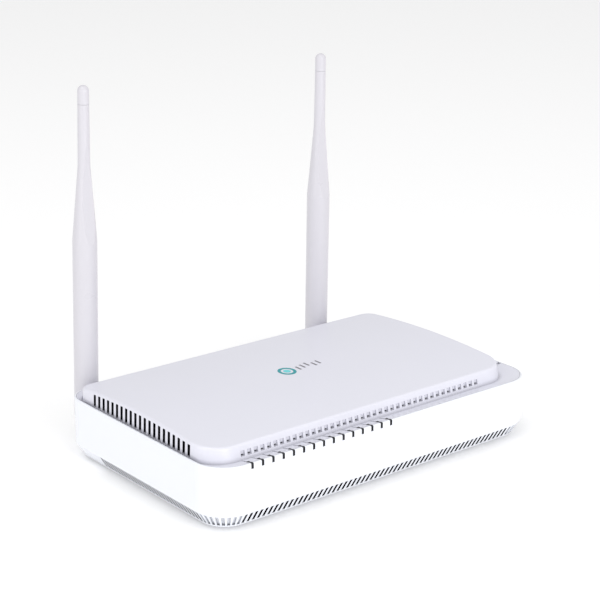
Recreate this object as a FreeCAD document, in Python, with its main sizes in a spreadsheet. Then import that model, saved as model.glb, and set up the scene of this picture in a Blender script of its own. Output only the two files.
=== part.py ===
import FreeCAD
import Part
import Sketcher
import math
import os
import re

Vector = FreeCAD.Vector

# Optical network terminal. Millimetres, +X right, +Y to the rear, +Z up.
# The origin is on the table, under the centre of the box around the whole object.
sizes = {
    # outer form
    "bodyWidth": 204,
    "bodyDepth": 129,
    "trayHeight": 31,
    "footHeight": 1.5,
    "frontCornerRadius": 17,
    "rearCornerRadius": 12.5,
    "chamferHeight": 7,
    "chamferInset": 4.5,
    "wall": 2.2,
    "floorThickness": 2.2,
    "rimLip": 1,
    "lipDepth": 3.4,
    "rimRounding": 0.5,
    "fitGap": 0.15,
    # top cover
    "flangeThickness": 3.2,
    "gutterDepth": 1.8,
    "ledgeLeft": 2.5,
    "ledgeRight": 9,
    "ledgeFront": 9,
    "ledgeRear": 7.5,
    "slopeLeft": 0.4,
    "slopeRight": 1.4,
    "slopeFront": 2.4,
    "slopeRear": 1,
    "crownHeight": 8.6,
    "crownRadius": 500,
    "coverWall": 2,
    "coverRounding": 1.4,
    "coverFrontRadius": 15,
    "coverRearRadius": 7,
    "recessDepth": 6,
    "recessWidth": 17,
    "recessLength": 15,
    "recessWall": 1.3,
    # cover openings
    "ventPitch": 4,
    "ventWidth": 2,
    "ventFirst": 24.9,
    "ventRearMargin": 16,
    "ventBand": 1.3,
    "squarePitch": 3.8,
    "squareWidth": 2.3,
    "squareHeight": 2.7,
    "squareDepth": 0.6,
    "squareFirst": 21.95,
    "squareRightMargin": 24.5,
    "squareBottom": 1.6,
    "dashWidth": 1.7,
    "dashHeight": 0.8,
    "dashRise": 0.1,
    "ledPitch": 5.98,
    "ledCount": 15,
    "ledFirst": 20.25,
    "ledWidth": 1.4,
    "ledDrop": 2.8,
    "grooveWidth": 0.8,
    "grooveDepth": 0.5,
    "grooveLength": 4.6,
    "brimNotch": 2.9,
    # slots in the lower edge
    "slotPitch": 2.98,
    "slotWidth": 1.5,
    "slotTop": 6.4,
    "slotBottom": 0.9,
    "slotRearMargin": 17,
    "slotMargin": 0.6,
    "cornerSlotCount": 10,
    "cornerSlotDepth": 1.1,
    # fastening and feet
    "bossRadius": 4.5,
    "bossTop": 18,
    "bossInset": 18,
    "bossFront": 20,
    "bossRear": 31,
    "screwHeadRadius": 2.8,
    "screwHeadHeight": 2,
    "screwShankRadius": 1.5,
    "screwSeat": 8,
    "screwClearance": 0.2,
    "screwTopGap": 3,
    "threadGap": 0.02,
    "driveRadius": 1.1,
    "driveDepth": 1.2,
    "postRadius": 3,
    "footRadius": 5.8,
    "footRecess": 0.6,
    "footBevel": 0.6,
    "footStep": 0.5,
    "footSide": 32,
    "footInset": 20,
    "hangSpacing": 90,
    "hangHeadRadius": 4,
    "hangShankRadius": 2.1,
    "hangTravel": 8,
    # main board
    "boardBottom": 9,
    "boardThickness": 1.6,
    "boardLeftGap": 5,
    "boardRightGap": 5,
    "boardFrontGap": 6,
    "boardRearGap": 4,
    "standoffLeftInset": 35,
    "standoffRightInset": 35,
    "standoffFrontInset": 14,
    "standoffRearInset": 46,
    "standoffRadius": 3,
    "standoffBore": 5,
    "boardScrewRadius": 1.2,
    "boardScrewReach": 5,
    "boardHeadRadius": 2.4,
    "boardHeadHeight": 1.5,
    "boardDriveRadius": 0.9,
    "boardDriveFloor": 0.7,
    "boardRearRadius": 2,
    "boardBossGap": 0.4,
    # components on the board
    "chipLeft": 4,
    "chipRear": 57,
    "chipWidth": 15,
    "chipHeight": 1.3,
    "sinkWidth": 26,
    "sinkHeight": 5.2,
    "sinkBase": 2.4,
    "finCount": 8,
    "finEdge": 1.3,
    "finPitch": 3.15,
    "finGap": 1.8,
    "memoryX": 18,
    "memoryRear": 50,
    "memoryWidth": 8,
    "memoryDepth": 12.5,
    "memoryHeight": 1.1,
    "shieldX": 44,
    "shieldRear": 45,
    "shieldWidth": 26,
    "shieldDepth": 22,
    "shieldHeight": 2.4,
    "transformerRear": 20,
    "transformerWidth": 26,
    "transformerDepth": 11,
    "transformerHeight": 5.8,
    "canRadius": 4,
    "canHeight": 10.5,
    "canGroove": 0.35,
    "canGrooveRise": 1.6,
    "inletCapacitorX": 70,
    "usbCapacitorX": 59.5,
    "inletCapacitorRear": 26,
    "phoneCapacitorX": 46,
    "phoneCapacitorRear": 30,
    "coreRadius": 3.2,
    "coilRadius": 3.8,
    "coilHeight": 4.6,
    "coilRim": 0.8,
    "inletInductorX": 71,
    "inletInductorRear": 40,
    "phoneInductorX": 34,
    "phoneInductorRear": 33,
    "lampWidth": 1.6,
    "lampDepth": 0.9,
    "lampHeight": 0.8,
    "lampInset": 0.8,
    "railRise": 1.2,
    "railEnd": 2,
    "railReach": 2.6,
    "railHeight": 2,
    "legDepth": 1.2,
    "windowSink": 0.35,
    "windowSideGap": 0.1,
    "windowTopGap": 0.25,
    # rear panel and connectors
    "windowLeft": 75,
    "windowRight": 57.5,
    "windowBottom": 8.8,
    "windowHeight": 17.4,
    "panelThickness": 2,
    "panelSink": 0.2,
    "panelGap": 0.1,
    "portSink": 0.3,
    "opticalX": 66,
    "opticalWidth": 13,
    "opticalHeight": 10.4,
    "opticalDepth": 22,
    "opticalAxis": 5.2,
    "opticalMouthLow": 1.4,
    "opticalMouthWidth": 9.2,
    "opticalMouthHeight": 7.6,
    "opticalMouthDepth": 12,
    "opticalKeyLow": 8.9,
    "opticalKeyWidth": 2.4,
    "opticalKeyHeight": 0.9,
    "opticalKeyDepth": 12,
    "collarRadius": 2.3,
    "collarLength": 7,
    "collarRoot": 0.5,
    "collarStart": 4,
    "ferruleRadius": 1.26,
    "barrelRadius": 3,
    "barrelLength": 9,
    "flangeRadius": 4,
    "barrelFlange": 1.5,
    "transceiverReach": 19,
    "transceiverRise": 1,
    "transceiverWidth": 9,
    "transceiverDepth": 10.5,
    "transceiverHeight": 8.6,
    "cradleWidth": 8,
    "phoneFirst": 51.5,
    "phonePitch": 12.4,
    "phoneWidth": 11.6,
    "phoneHeight": 12,
    "phoneDepth": 16,
    "phoneMouthLow": 3.4,
    "phoneMouthWidth": 9.8,
    "phoneMouthHeight": 6.9,
    "phoneMouthDepth": 11.5,
    "phoneLatchLow": 1,
    "phoneLatchWidth": 6.2,
    "phoneLatchHeight": 2.5,
    "phoneLatchDepth": 8,
    "lanFirst": 23,
    "lanPitch": 16.6,
    "lanWidth": 15.8,
    "lanHeight": 13.4,
    "lanDepth": 19,
    "lanMouthLow": 3.8,
    "lanMouthWidth": 11.9,
    "lanMouthHeight": 7.4,
    "lanMouthDepth": 13,
    "lanLatchLow": 1.4,
    "lanLatchWidth": 6.4,
    "lanLatchHeight": 2.5,
    "lanLatchDepth": 9,
    "lanNotchLow": 0.6,
    "lanNotchWidth": 4,
    "lanNotchHeight": 1,
    "lanNotchDepth": 6,
    "usbX": 48.5,
    "usbWidth": 13.2,
    "usbHeight": 5.8,
    "usbDepth": 15,
    "usbShell": 0.4,
    "usbMouthDepth": 13.8,
    "usbTongueRoot": 3,
    "usbBladeWidth": 11.2,
    "usbBladeLength": 10,
    "usbBladeReach": 12,
    "usbBladeDrop": 2.1,
    "usbBladeThickness": 1.8,
    "powerX": 78,
    "powerWidth": 9,
    "powerHeight": 11,
    "powerDepth": 14,
    "powerBore": 3.15,
    "powerBoreDepth": 9.5,
    "powerBoreRise": 0.5,
    "powerPin": 1,
    "powerPinLength": 8,
    "switchX": 87.4,
    "switchWidth": 8,
    "switchDepth": 11,
    "switchGap": 2.4,
    "switchBore": 6,
    "buttonWidth": 6.4,
    "buttonTravel": 2,
    "buttonProud": 1.4,
    "buttonRoot": 0.6,
    "buttonFlange": 0.8,
    "stemWidth": 2.8,
    "stemReach": 3,
    "stemGap": 0.1,
    # side buttons
    "sideButtonRear": 60,
    "sideButtonPitch": 13,
    "sideButtonWidth": 7,
    "sideButtonHeight": 4,
    "sideButtonZ": 14.5,
    "sideButtonProud": 0,
    "sideTravel": 0.5,
    "sideButtonRoot": 0.8,
    "sideFlange": 0.9,
    "sideFlangeSink": 1.2,
    "sideStemWidth": 2.4,
    "sideSwitchGap": 3.2,
    "sideSwitchDepth": 4,
    "sideSwitchWidth": 6,
    "resetRadius": 0.9,
    "resetSink": 1.4,
    "resetFlange": 2,
    # antennas
    "hingeOffset": 8,
    "hingeHeight": 16,
    "leftAntennaX": 85,
    "rightAntennaX": 67,
    "leftLean": 1.9,
    "rightLean": 1,
    "antennaLength": 169,
    "sleeveRadius": 6.25,
    "tipRadius": 2.9,
    "whipStep": 0.2,
    "taperStart": 91,
    "taperEnd": 129.5,
    "scoopRadius": 235,
    "tipLength": 9.5,
    "sleeveWall": 1.85,
    "boreFloor": 2,
    "boreShort": 6,
    "narrowBore": 1.3,
    "narrowShort": 3,
    "radiatorRise": 4,
    "radiatorTube": 2.4,
    "radiatorShort": 14,
    "radiatorWhip": 0.9,
    "whipShort": 12,
    "tongueWidth": 5,
    "tongueRadius": 5.7,
    "clevisGap": 0.15,
    "clevisRoom": 0.75,
    "pinRadius": 1.5,
    "pinFit": 0.01,
    "pinLength": 11.2,
    "runningGap": 0.05,
    "stemRadius": 3,
    "stemLength": 7,
    "leadRadius": 0.9,
    "neckStart": 0.2,
    "neckHeight": 9.2,
    "clipStart": 1,
    "clipThickness": 1,
    "clipBite": 0.6,
    "clipWidth": 1.6,
    "clipMouth": 3.2,
    "bushingRadius": 4.6,
    "bushingFlange": 5.2,
    "bushingGap": 0.6,
    "elbowHead": 1.3,
}

doc = FreeCAD.newDocument("OpticalNetworkTerminal")
sheet = doc.addObject("Spreadsheet::Sheet", "Sizes")
for row, (alias, number) in enumerate(sizes.items(), start=1):
    sheet.set("A%d" % row, alias)
    sheet.set("B%d" % row, str(number))
    sheet.setAlias("B%d" % row, alias)
doc.recompute()

# Places that several pieces share, as formulas on the sheet's sizes.
frontY = "(-(bodyDepth + hingeOffset + sleeveRadius) / 2)"
rearY = "(bodyDepth + %s)" % frontY
leftX = "(-bodyWidth / 2)"
rimZ = "(footHeight + trayHeight)"
floorZ = "(footHeight + floorThickness)"
gutterZ = "(%s - gutterDepth)" % rimZ
flangeZ = "(%s - flangeThickness)" % rimZ
apexZ = "(%s + crownHeight)" % rimZ
boardTop = "(boardBottom + boardThickness)"
boardFront = "(%s + boardFrontGap)" % frontY
boardRear = "(%s - boardRearGap)" % rearY
hingeY = "(%s + hingeOffset)" % rearY
plateauFront = "(%s + ledgeFront)" % frontY
plateauRear = "(%s - ledgeRear)" % rearY
recessFloor = "(%s - recessDepth)" % rimZ
crownY = "((%s + slopeFront + %s - slopeRear) / 2)" % (plateauFront, plateauRear)
boardLeft = "(%s + boardLeftGap)" % leftX
boardRight = "(bodyWidth / 2 - boardRightGap)"
ventCount = "floor((bodyDepth - ledgeRear - ventRearMargin - ventFirst) / ventPitch + 1)"
squareCount = "floor((bodyWidth - ledgeRight - squareRightMargin - squareFirst) / squarePitch + 1)"
frontSlotCount = "floor((bodyWidth - 2 * frontCornerRadius - slotPitch) / slotPitch)"
sideSlotCount = "floor((bodyDepth - frontCornerRadius - rearCornerRadius - slotRearMargin) / slotPitch)"
bossPlaces = [
    ("%s(bodyWidth / 2 - bossInset)" % sign, place)
    for sign in ("-", "")
    for place in ("%s + bossFront" % frontY, "%s - bossRear" % rearY)
]


def bound(text):
    """The formula with each size's alias written as the sheet's cell."""
    return re.sub(
        r"[A-Za-z]\w*",
        lambda word: "Sizes." + word.group() if word.group() in sizes else word.group(),
        str(text),
    )


def value(text):
    return float(sheet.evalExpression(bound(text)))


def bind(item, prop, text):
    item.setExpression(prop, bound(text))


def place(item, at, prop="Placement"):
    for axis, text in zip("xyz", at):
        bind(item, ".%s.Base.%s" % (prop, axis), text)


# PartDesign helpers

def newBody(name):
    body = doc.addObject("PartDesign::Body", name)
    body.Label = name
    return body


def originFeature(body, role):
    return next(f for f in body.Origin.OriginFeatures if f.Role == role)


def newSketch(body, name, role, at):
    """A sketch parallel to one of the body's planes, with its own origin at the point given."""
    x, y, z = at
    offsets = {
        "XY_Plane": (x, y, z),
        "XZ_Plane": (x, z, "-(%s)" % y),
        "YZ_Plane": (y, z, x),
    }
    sketch = body.newObject("Sketcher::SketchObject", name)
    sketch.AttachmentSupport = (originFeature(body, role), "")
    sketch.MapMode = "FlatFace"
    place(sketch, offsets[role], "AttachmentOffset")
    return sketch


def dimension(sketch, kind, references, text):
    index = sketch.addConstraint(Sketcher.Constraint(kind, *references, value(text)))
    bind(sketch, "Constraints[%d]" % index, text)


def drawRounded(sketch, width, depth, frontRadius, rearRadius):
    """A rectangle from the sketch's origin, with its two near and two far corners rounded."""
    w, d = value(width), value(depth)
    f, r = value(frontRadius), value(rearRadius)
    quarter = math.pi / 2
    sketch.addGeometry(
        [
            Part.LineSegment(Vector(f, 0, 0), Vector(w - f, 0, 0)),
            Part.LineSegment(Vector(w, f, 0), Vector(w, d - r, 0)),
            Part.LineSegment(Vector(w - r, d, 0), Vector(r, d, 0)),
            Part.LineSegment(Vector(0, d - r, 0), Vector(0, f, 0)),
        ],
        False,
    )
    corners = [
        (w - f, f, f, -quarter),
        (w - r, d - r, r, 0),
        (r, d - r, r, quarter),
        (f, f, f, 2 * quarter),
    ]
    for x, y, radius, start in corners:
        circle = Part.Circle(Vector(x, y, 0), Vector(0, 0, 1), radius)
        sketch.addGeometry(Part.ArcOfCircle(circle, start, start + quarter), False)
    for side in range(4):
        sketch.addConstraint(Sketcher.Constraint("Tangent", side, 2, 4 + side, 1))
        sketch.addConstraint(Sketcher.Constraint("Tangent", 4 + side, 2, (side + 1) % 4, 1))
        direction = "Horizontal" if side % 2 == 0 else "Vertical"
        sketch.addConstraint(Sketcher.Constraint(direction, side))
    sketch.addConstraint(Sketcher.Constraint("PointOnObject", 0, 1, -1))
    sketch.addConstraint(Sketcher.Constraint("PointOnObject", 3, 1, -2))
    dimension(sketch, "DistanceX", (3, 1, 1, 1), width)
    dimension(sketch, "DistanceY", (0, 1, 2, 1), depth)
    for arc, radius in zip(range(4, 8), (frontRadius, rearRadius, rearRadius, frontRadius)):
        dimension(sketch, "Radius", (arc,), radius)


def drawRectangle(sketch, width, height):
    w, h = value(width), value(height)
    corners = [Vector(0, 0, 0), Vector(w, 0, 0), Vector(w, h, 0), Vector(0, h, 0)]
    for side in range(4):
        line = Part.LineSegment(corners[side], corners[(side + 1) % 4])
        sketch.addGeometry(line, False)
    for side in range(4):
        sketch.addConstraint(Sketcher.Constraint("Coincident", side, 2, (side + 1) % 4, 1))
        direction = "Horizontal" if side % 2 == 0 else "Vertical"
        sketch.addConstraint(Sketcher.Constraint(direction, side))
    sketch.addConstraint(Sketcher.Constraint("Coincident", 0, 1, -1, 1))
    dimension(sketch, "DistanceX", (0, 1, 0, 2), width)
    dimension(sketch, "DistanceY", (1, 1, 1, 2), height)


def drawTrapezoid(sketch, height, bottom, top, towards):
    """An upright edge at the sketch's origin, with level edges that go left (-1) or right (1)."""
    tall, low, high = value(height), towards * value(bottom), towards * value(top)
    corners = [Vector(0, 0, 0), Vector(0, tall, 0), Vector(high, tall, 0), Vector(low, 0, 0)]
    for side in range(4):
        sketch.addGeometry(Part.LineSegment(corners[side], corners[(side + 1) % 4]), False)
    for side in range(4):
        sketch.addConstraint(Sketcher.Constraint("Coincident", side, 2, (side + 1) % 4, 1))
    for side, direction in ((0, "Vertical"), (1, "Horizontal"), (3, "Horizontal")):
        sketch.addConstraint(Sketcher.Constraint(direction, side))
    sketch.addConstraint(Sketcher.Constraint("Coincident", 0, 1, -1, 1))
    dimension(sketch, "DistanceY", (0, 1, 0, 2), height)
    dimension(sketch, "DistanceX", (1, 1, 1, 2) if towards > 0 else (1, 2, 1, 1), top)
    dimension(sketch, "DistanceX", (3, 2, 3, 1) if towards > 0 else (3, 1, 3, 2), bottom)


def drawCircles(sketch, places, radius):
    """Circles of one radius, whose centres are given from the sketch's origin."""
    for x, y in places:
        centre = Vector(value(x), value(y), 0)
        circle = Part.Circle(centre, Vector(0, 0, 1), value(radius))
        index = sketch.addGeometry(circle, False)
        dimension(sketch, "Radius", (index,), radius)
        for kind, text, offAxis in (("DistanceX", x, -2), ("DistanceY", y, -1)):
            if value(text) == 0:
                sketch.addConstraint(Sketcher.Constraint("PointOnObject", index, 3, offAxis))
            else:
                dimension(sketch, kind, (-1, 1, index, 3), text)


def addFeature(body, kind, name, sketch, length=None, reverse=False):
    """A pad or pocket of a sketch; a pocket that takes nothing away stops the build."""
    before = body.Shape.Volume if body.Tip else 0
    feature = body.newObject("PartDesign::" + kind, name)
    feature.Profile = sketch
    feature.Reversed = reverse
    if length is not None:
        bind(feature, "Length", length)
    doc.recompute()
    change = body.Shape.Volume - before
    if (kind == "Pocket") != (change < 0):
        raise RuntimeError("%s changes the volume by %.3f" % (name, change))
    return feature


def addLoft(body, kind, name, first, second):
    loft = body.newObject("PartDesign::" + kind, name)
    loft.Profile = first
    loft.Sections = [second]
    loft.Ruled = True
    doc.recompute()
    return loft


def addRow(body, name, feature, axis, pitch, count):
    row = body.newObject("PartDesign::LinearPattern", name)
    row.Originals = [feature]
    row.Direction = (originFeature(body, axis), [""])
    bind(row, "Length", "%s * (%s - 1)" % (pitch, count))
    bind(row, "Occurrences", count)
    body.Tip = row
    doc.recompute()
    return row


def edgesWhere(feature, test):
    return ["Edge%d" % n for n, edge in enumerate(feature.Shape.Edges, start=1) if test(edge)]


def addFillet(body, name, feature, radius, test):
    fillet = body.newObject("PartDesign::Fillet", name)
    fillet.Base = (feature, edgesWhere(feature, test))
    bind(fillet, "Radius", radius)
    doc.recompute()
    return fillet


# Part helpers

turns = {
    "X": FreeCAD.Rotation(Vector(0, 1, 0), 90),
    "Y": FreeCAD.Rotation(Vector(1, 0, 0), -90),
    "Z": FreeCAD.Rotation(),
}


def box(name, at, size):
    solid = doc.addObject("Part::Box", name)
    for prop, text in zip(("Length", "Width", "Height"), size):
        bind(solid, prop, text)
    place(solid, at)
    return solid


def rod(name, at, radius, length, axis="Z"):
    solid = doc.addObject("Part::Cylinder", name)
    solid.Placement.Rotation = turns[axis]
    bind(solid, "Radius", radius)
    bind(solid, "Height", length)
    place(solid, at)
    return solid


def cone(name, at, radius, endRadius, length, axis="Z"):
    solid = doc.addObject("Part::Cone", name)
    solid.Placement.Rotation = turns[axis]
    bind(solid, "Radius1", radius)
    bind(solid, "Radius2", endRadius)
    bind(solid, "Height", length)
    place(solid, at)
    return solid


def ball(name, at, radius):
    solid = doc.addObject("Part::Sphere", name)
    bind(solid, "Radius", radius)
    place(solid, at)
    return solid


def joined(kind, name, prop, items):
    item = doc.addObject("Part::" + kind, name)
    setattr(item, prop, list(items))
    return item


def fuse(name, *items):
    return joined("MultiFuse", name, "Shapes", items)


def group(name, *items):
    return joined("Compound", name, "Links", items)


def cut(name, base, *tools):
    item = doc.addObject("Part::Cut", name)
    item.Base = base
    item.Tool = tools[0] if len(tools) == 1 else group(name + "_tools", *tools)
    return item


def common(name, first, second):
    item = doc.addObject("Part::Common", name)
    item.Base = first
    item.Tool = second
    return item


nodes = []


def keep(item, name=None):
    """Names a finished piece; its label is its file's name."""
    item.Label = name or item.Label
    nodes.append(item)
    return item


# lower housing

def trayOutline(body, name, inset, z):
    sketch = newSketch(
        body, name, "XY_Plane", ("%s + %s" % (leftX, inset), "%s + %s" % (frontY, inset), z)
    )
    drawRounded(
        sketch,
        "bodyWidth - 2 * (%s)" % inset,
        "bodyDepth - 2 * (%s)" % inset,
        "frontCornerRadius - (%s)" % inset,
        "rearCornerRadius - (%s)" % inset,
    )
    return sketch


def addCornerSlots(body, side, sign):
    """Blind grooves that follow the slope of the lower edge round a front corner."""
    bottomZ = "footHeight + slotBottom"
    outside = "%s(bodyWidth / 2 + 1)" % sign
    centreY = "%s + frontCornerRadius" % frontY
    sketch = newSketch(body, side + "_corner_slot", "XZ_Plane", (outside, centreY, bottomZ))
    slope = "chamferInset / chamferHeight"
    high = "1 + cornerSlotDepth + (chamferHeight - slotTop) * %s" % slope
    low = "1 + cornerSlotDepth + (chamferHeight - slotBottom) * %s" % slope
    drawTrapezoid(sketch, "slotTop - slotBottom", low, high, 1 if sign else -1)
    slot = addFeature(body, "Pocket", side + "_corner_slot_cut", sketch)
    slot.Midplane = True
    bind(slot, "Length", "slotWidth")
    pivot = ("%s(bodyWidth / 2 - frontCornerRadius)" % sign, centreY, "footHeight")
    axis = newSketch(body, side + "_corner_axis", "XY_Plane", pivot)
    row = body.newObject("PartDesign::PolarPattern", side + "_corner_slots")
    row.Originals = [slot]
    row.Axis = (axis, ["N_Axis"])
    row.Angle = 90
    row.Reversed = not sign
    bind(row, "Occurrences", "cornerSlotCount")
    body.Tip = row
    doc.recompute()


def makeLowerHousing():
    body = newBody("lower_housing")
    bendZ = "footHeight + chamferHeight"
    bottom = trayOutline(body, "tray_bottom", "chamferInset", "footHeight")
    bend = trayOutline(body, "tray_bend", "0", bendZ)
    addLoft(body, "AdditiveLoft", "tray_chamfer", bottom, bend)
    walls = trayOutline(body, "tray_walls", "0", bendZ)
    addFeature(body, "Pad", "tray_pad", walls, "trayHeight - chamferHeight")
    hollow = trayOutline(body, "tray_hollow", "wall", rimZ)
    addFeature(body, "Pocket", "tray_pocket", hollow, "trayHeight - chamferHeight")
    upper = trayOutline(body, "tray_inner_bend", "wall", bendZ)
    taper = "wall + chamferInset * (chamferHeight - floorThickness) / chamferHeight"
    lower = trayOutline(body, "tray_inner_floor", taper, floorZ)
    addLoft(body, "SubtractiveLoft", "tray_inner_chamfer", upper, lower)
    lip = trayOutline(body, "tray_lip", "rimLip", rimZ)
    step = addFeature(body, "Pocket", "tray_lip_pocket", lip, "lipDepth")
    rim = value(rimZ)
    half = value("bodyWidth") / 2
    front, rear = value(frontY), value(rearY)

    def onOuterRim(edge):
        middle = edge.CenterOfMass
        flat = abs(edge.BoundBox.ZMin - rim) < 1e-4 and abs(edge.BoundBox.ZMax - rim) < 1e-4
        radius = value("frontCornerRadius")
        onSide = (
            abs(abs(middle.x) - half) < 1e-3
            or abs(middle.y - front) < 1e-3
            or abs(middle.y - rear) < 1e-3
        )
        outerArc = hasattr(edge.Curve, "Radius") and min(
            abs(edge.Curve.Radius - radius), abs(edge.Curve.Radius - value("rearCornerRadius"))
        ) < 1e-4
        return flat and (onSide or outerArc)

    addFillet(body, "tray_rim_rounding", step, "rimRounding", onOuterRim)

    # floor bosses with counterbored screw holes, and standoffs for the board
    sketch = newSketch(body, "boss_circles", "XY_Plane", ("0", "0", floorZ))
    drawCircles(sketch, bossPlaces, "bossRadius")
    addFeature(body, "Pad", "bosses", sketch, "bossTop - %s" % floorZ)
    sketch = newSketch(body, "standoff_circles", "XY_Plane", ("0", "0", floorZ))
    drawCircles(sketch, standoffPlaces, "standoffRadius")
    addFeature(body, "Pad", "standoffs", sketch, "boardBottom - %s" % floorZ)
    sketch = newSketch(body, "standoff_holes", "XY_Plane", ("0", "0", "boardBottom"))
    drawCircles(sketch, standoffPlaces, "boardScrewRadius")
    addFeature(body, "Pocket", "standoff_bores", sketch, "standoffBore")
    sketch = newSketch(body, "boss_counterbores", "XY_Plane", ("0", "0", "footHeight"))
    drawCircles(sketch, bossPlaces, "screwHeadRadius + 2 * fitGap")
    addFeature(body, "Pocket", "counterbores", sketch, "screwSeat - footHeight", True)
    sketch = newSketch(body, "boss_bores", "XY_Plane", ("0", "0", "bossTop"))
    drawCircles(sketch, bossPlaces, "screwShankRadius + screwClearance")
    addFeature(body, "Pocket", "screw_bores", sketch, "bossTop - screwSeat")

    # recesses for the feet, and two keyholes to hang the housing on screws
    sketch = newSketch(body, "foot_circles", "XY_Plane", ("0", "0", "footHeight"))
    drawCircles(sketch, footPlaces, "footRadius + 2 * runningGap")
    addFeature(body, "Pocket", "foot_recesses", sketch, "footRecess", True)
    sketch = newSketch(body, "hang_circles", "XY_Plane", ("0", "0", "footHeight"))
    drawCircles(sketch, [("-hangSpacing / 2", "0"), ("hangSpacing / 2", "0")], "hangHeadRadius")
    addFeature(body, "Pocket", "hang_entries", sketch, "floorThickness", True)
    for side in ("-", ""):
        corner = ("%shangSpacing / 2 - hangShankRadius" % side, "0", "footHeight")
        sketch = newSketch(body, "hang_slot", "XY_Plane", corner)
        drawRectangle(sketch, "2 * hangShankRadius", "hangTravel")
        addFeature(body, "Pocket", "hang_slots", sketch, "floorThickness", True)

    # rear wall: one window for the port panel, holes for power inlet, button and antennas
    def rearOpening(name, left, bottom, width, height):
        window = newSketch(body, name, "XZ_Plane", (left, "%s - wall - 1" % rearY, bottom))
        drawRectangle(window, width, height)
        addFeature(body, "Pocket", name + "_cut", window, "wall + 2")

    rearOpening(
        "port_window", "-windowLeft", "windowBottom", "windowLeft + windowRight", "windowHeight"
    )
    gap = "fitGap"
    rearOpening(
        "power_window",
        "powerX - powerWidth / 2 - %s" % gap,
        "%s - %s" % (boardTop, gap),
        "powerWidth + 2 * %s" % gap,
        "powerHeight + 2 * %s" % gap,
    )
    rearOpening(
        "button_window",
        "switchX - buttonWidth / 2 - 2 * %s" % gap,
        "%s + switchWidth / 2 - buttonWidth / 2 - 2 * %s" % (boardTop, gap),
        "buttonWidth + 4 * %s" % gap,
        "buttonWidth + 4 * %s" % gap,
    )
    sketch = newSketch(body, "antenna_circles", "XZ_Plane", ("0", "%s - wall - 1" % rearY, "0"))
    antennaPlaces = [("-leftAntennaX", "hingeHeight"), ("rightAntennaX", "hingeHeight")]
    drawCircles(sketch, antennaPlaces, "bushingRadius + runningGap")
    addFeature(body, "Pocket", "antenna_holes", sketch, "wall + 2")

    # right wall: two button windows and the reset hole
    for index in range(2):
        middle = "%s - sideButtonRear + %d * sideButtonPitch" % (rearY, index)
        window = newSketch(
            body,
            "side_window",
            "YZ_Plane",
            (
                "bodyWidth / 2 + 1",
                "%s - sideButtonWidth / 2 - fitGap" % middle,
                "sideButtonZ - sideButtonHeight / 2 - fitGap",
            ),
        )
        drawRectangle(window, "sideButtonWidth + 2 * fitGap", "sideButtonHeight + 2 * fitGap")
        addFeature(body, "Pocket", "side_window_cut", window, "wall + 2")
    resetY = "%s - sideButtonRear + 2 * sideButtonPitch" % rearY
    sketch = newSketch(body, "reset_circle", "YZ_Plane", ("bodyWidth / 2 + 1", resetY, "sideButtonZ"))
    drawCircles(sketch, [("0", "0")], "resetRadius + fitGap")
    addFeature(body, "Pocket", "reset_hole", sketch, "wall + 2")

    # windows of the indicator lights in the front of the rim
    corner = ("%s + ledFirst - ledWidth / 2" % leftX, "%s - 1" % frontY, "%s - ledDrop" % rimZ)
    sketch = newSketch(body, "led_notch", "XZ_Plane", corner)
    drawRectangle(sketch, "ledWidth", "ledDrop + 1")
    notch = addFeature(body, "Pocket", "led_notch_cut", sketch, "rimLip + 1")
    addRow(body, "led_notches", notch, "X_Axis", "ledPitch", "ledCount")

    # slots in the lower edge: front, left and right, then shallow ones round the front corners
    height = "slotTop - slotBottom"
    bottomZ = "footHeight + slotBottom"
    firstX = "-(%s - 1) * slotPitch / 2 - slotWidth / 2" % frontSlotCount
    corner = (firstX, "%s - 1" % frontY, bottomZ)
    sketch = newSketch(body, "front_slot", "XZ_Plane", corner)
    drawRectangle(sketch, "slotWidth", height)
    slot = addFeature(body, "Pocket", "front_slot_cut", sketch, "chamferInset + wall + slotMargin")
    addRow(body, "front_slots", slot, "X_Axis", "slotPitch", frontSlotCount)
    firstY = "%s + frontCornerRadius + slotPitch - slotWidth / 2" % frontY
    for side, plane, reverse in (
        ("left", "%s - 1" % leftX, True),
        ("right", "-%s + 1" % leftX, False),
    ):
        sketch = newSketch(body, side + "_slot", "YZ_Plane", (plane, firstY, bottomZ))
        drawRectangle(sketch, "slotWidth", height)
        slot = addFeature(
            body, "Pocket", side + "_slot_cut", sketch, "chamferInset + wall + slotMargin", reverse
        )
        addRow(body, side + "_slots", slot, "Y_Axis", "slotPitch", sideSlotCount)
    for side, sign in (("left", "-"), ("right", "")):
        addCornerSlots(body, side, sign)
    return body


standoffPlaces = [
    (x, y)
    for x in ("(%s + standoffLeftInset)" % boardLeft, "(%s - standoffRightInset)" % boardRight)
    for y in ("%s + standoffFrontInset" % boardFront, "%s - standoffRearInset" % boardRear)
]
footPlaces = [
    ("%s(bodyWidth / 2 - footSide)" % sign, place)
    for sign in ("-", "")
    for place in ("%s + footInset" % frontY, "%s - footInset" % rearY)
]


# top cover

def plateauOutline(body, name, slope, z):
    """The raised part's outline; slope is 0 at its foot and 1 at the crown's height."""
    left = "ledgeLeft + %s * slopeLeft" % slope
    right = "ledgeRight + %s * slopeRight" % slope
    front = "ledgeFront + %s * slopeFront" % slope
    rear = "ledgeRear + %s * slopeRear" % slope
    sketch = newSketch(
        body, name, "XY_Plane", ("%s + %s" % (leftX, left), "%s + %s" % (frontY, front), z)
    )
    drawRounded(
        sketch,
        "bodyWidth - (%s) - (%s)" % (left, right),
        "bodyDepth - (%s) - (%s)" % (front, rear),
        "coverFrontRadius - %s * slopeFront / 2" % slope,
        "coverRearRadius",
    )
    return sketch


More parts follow.
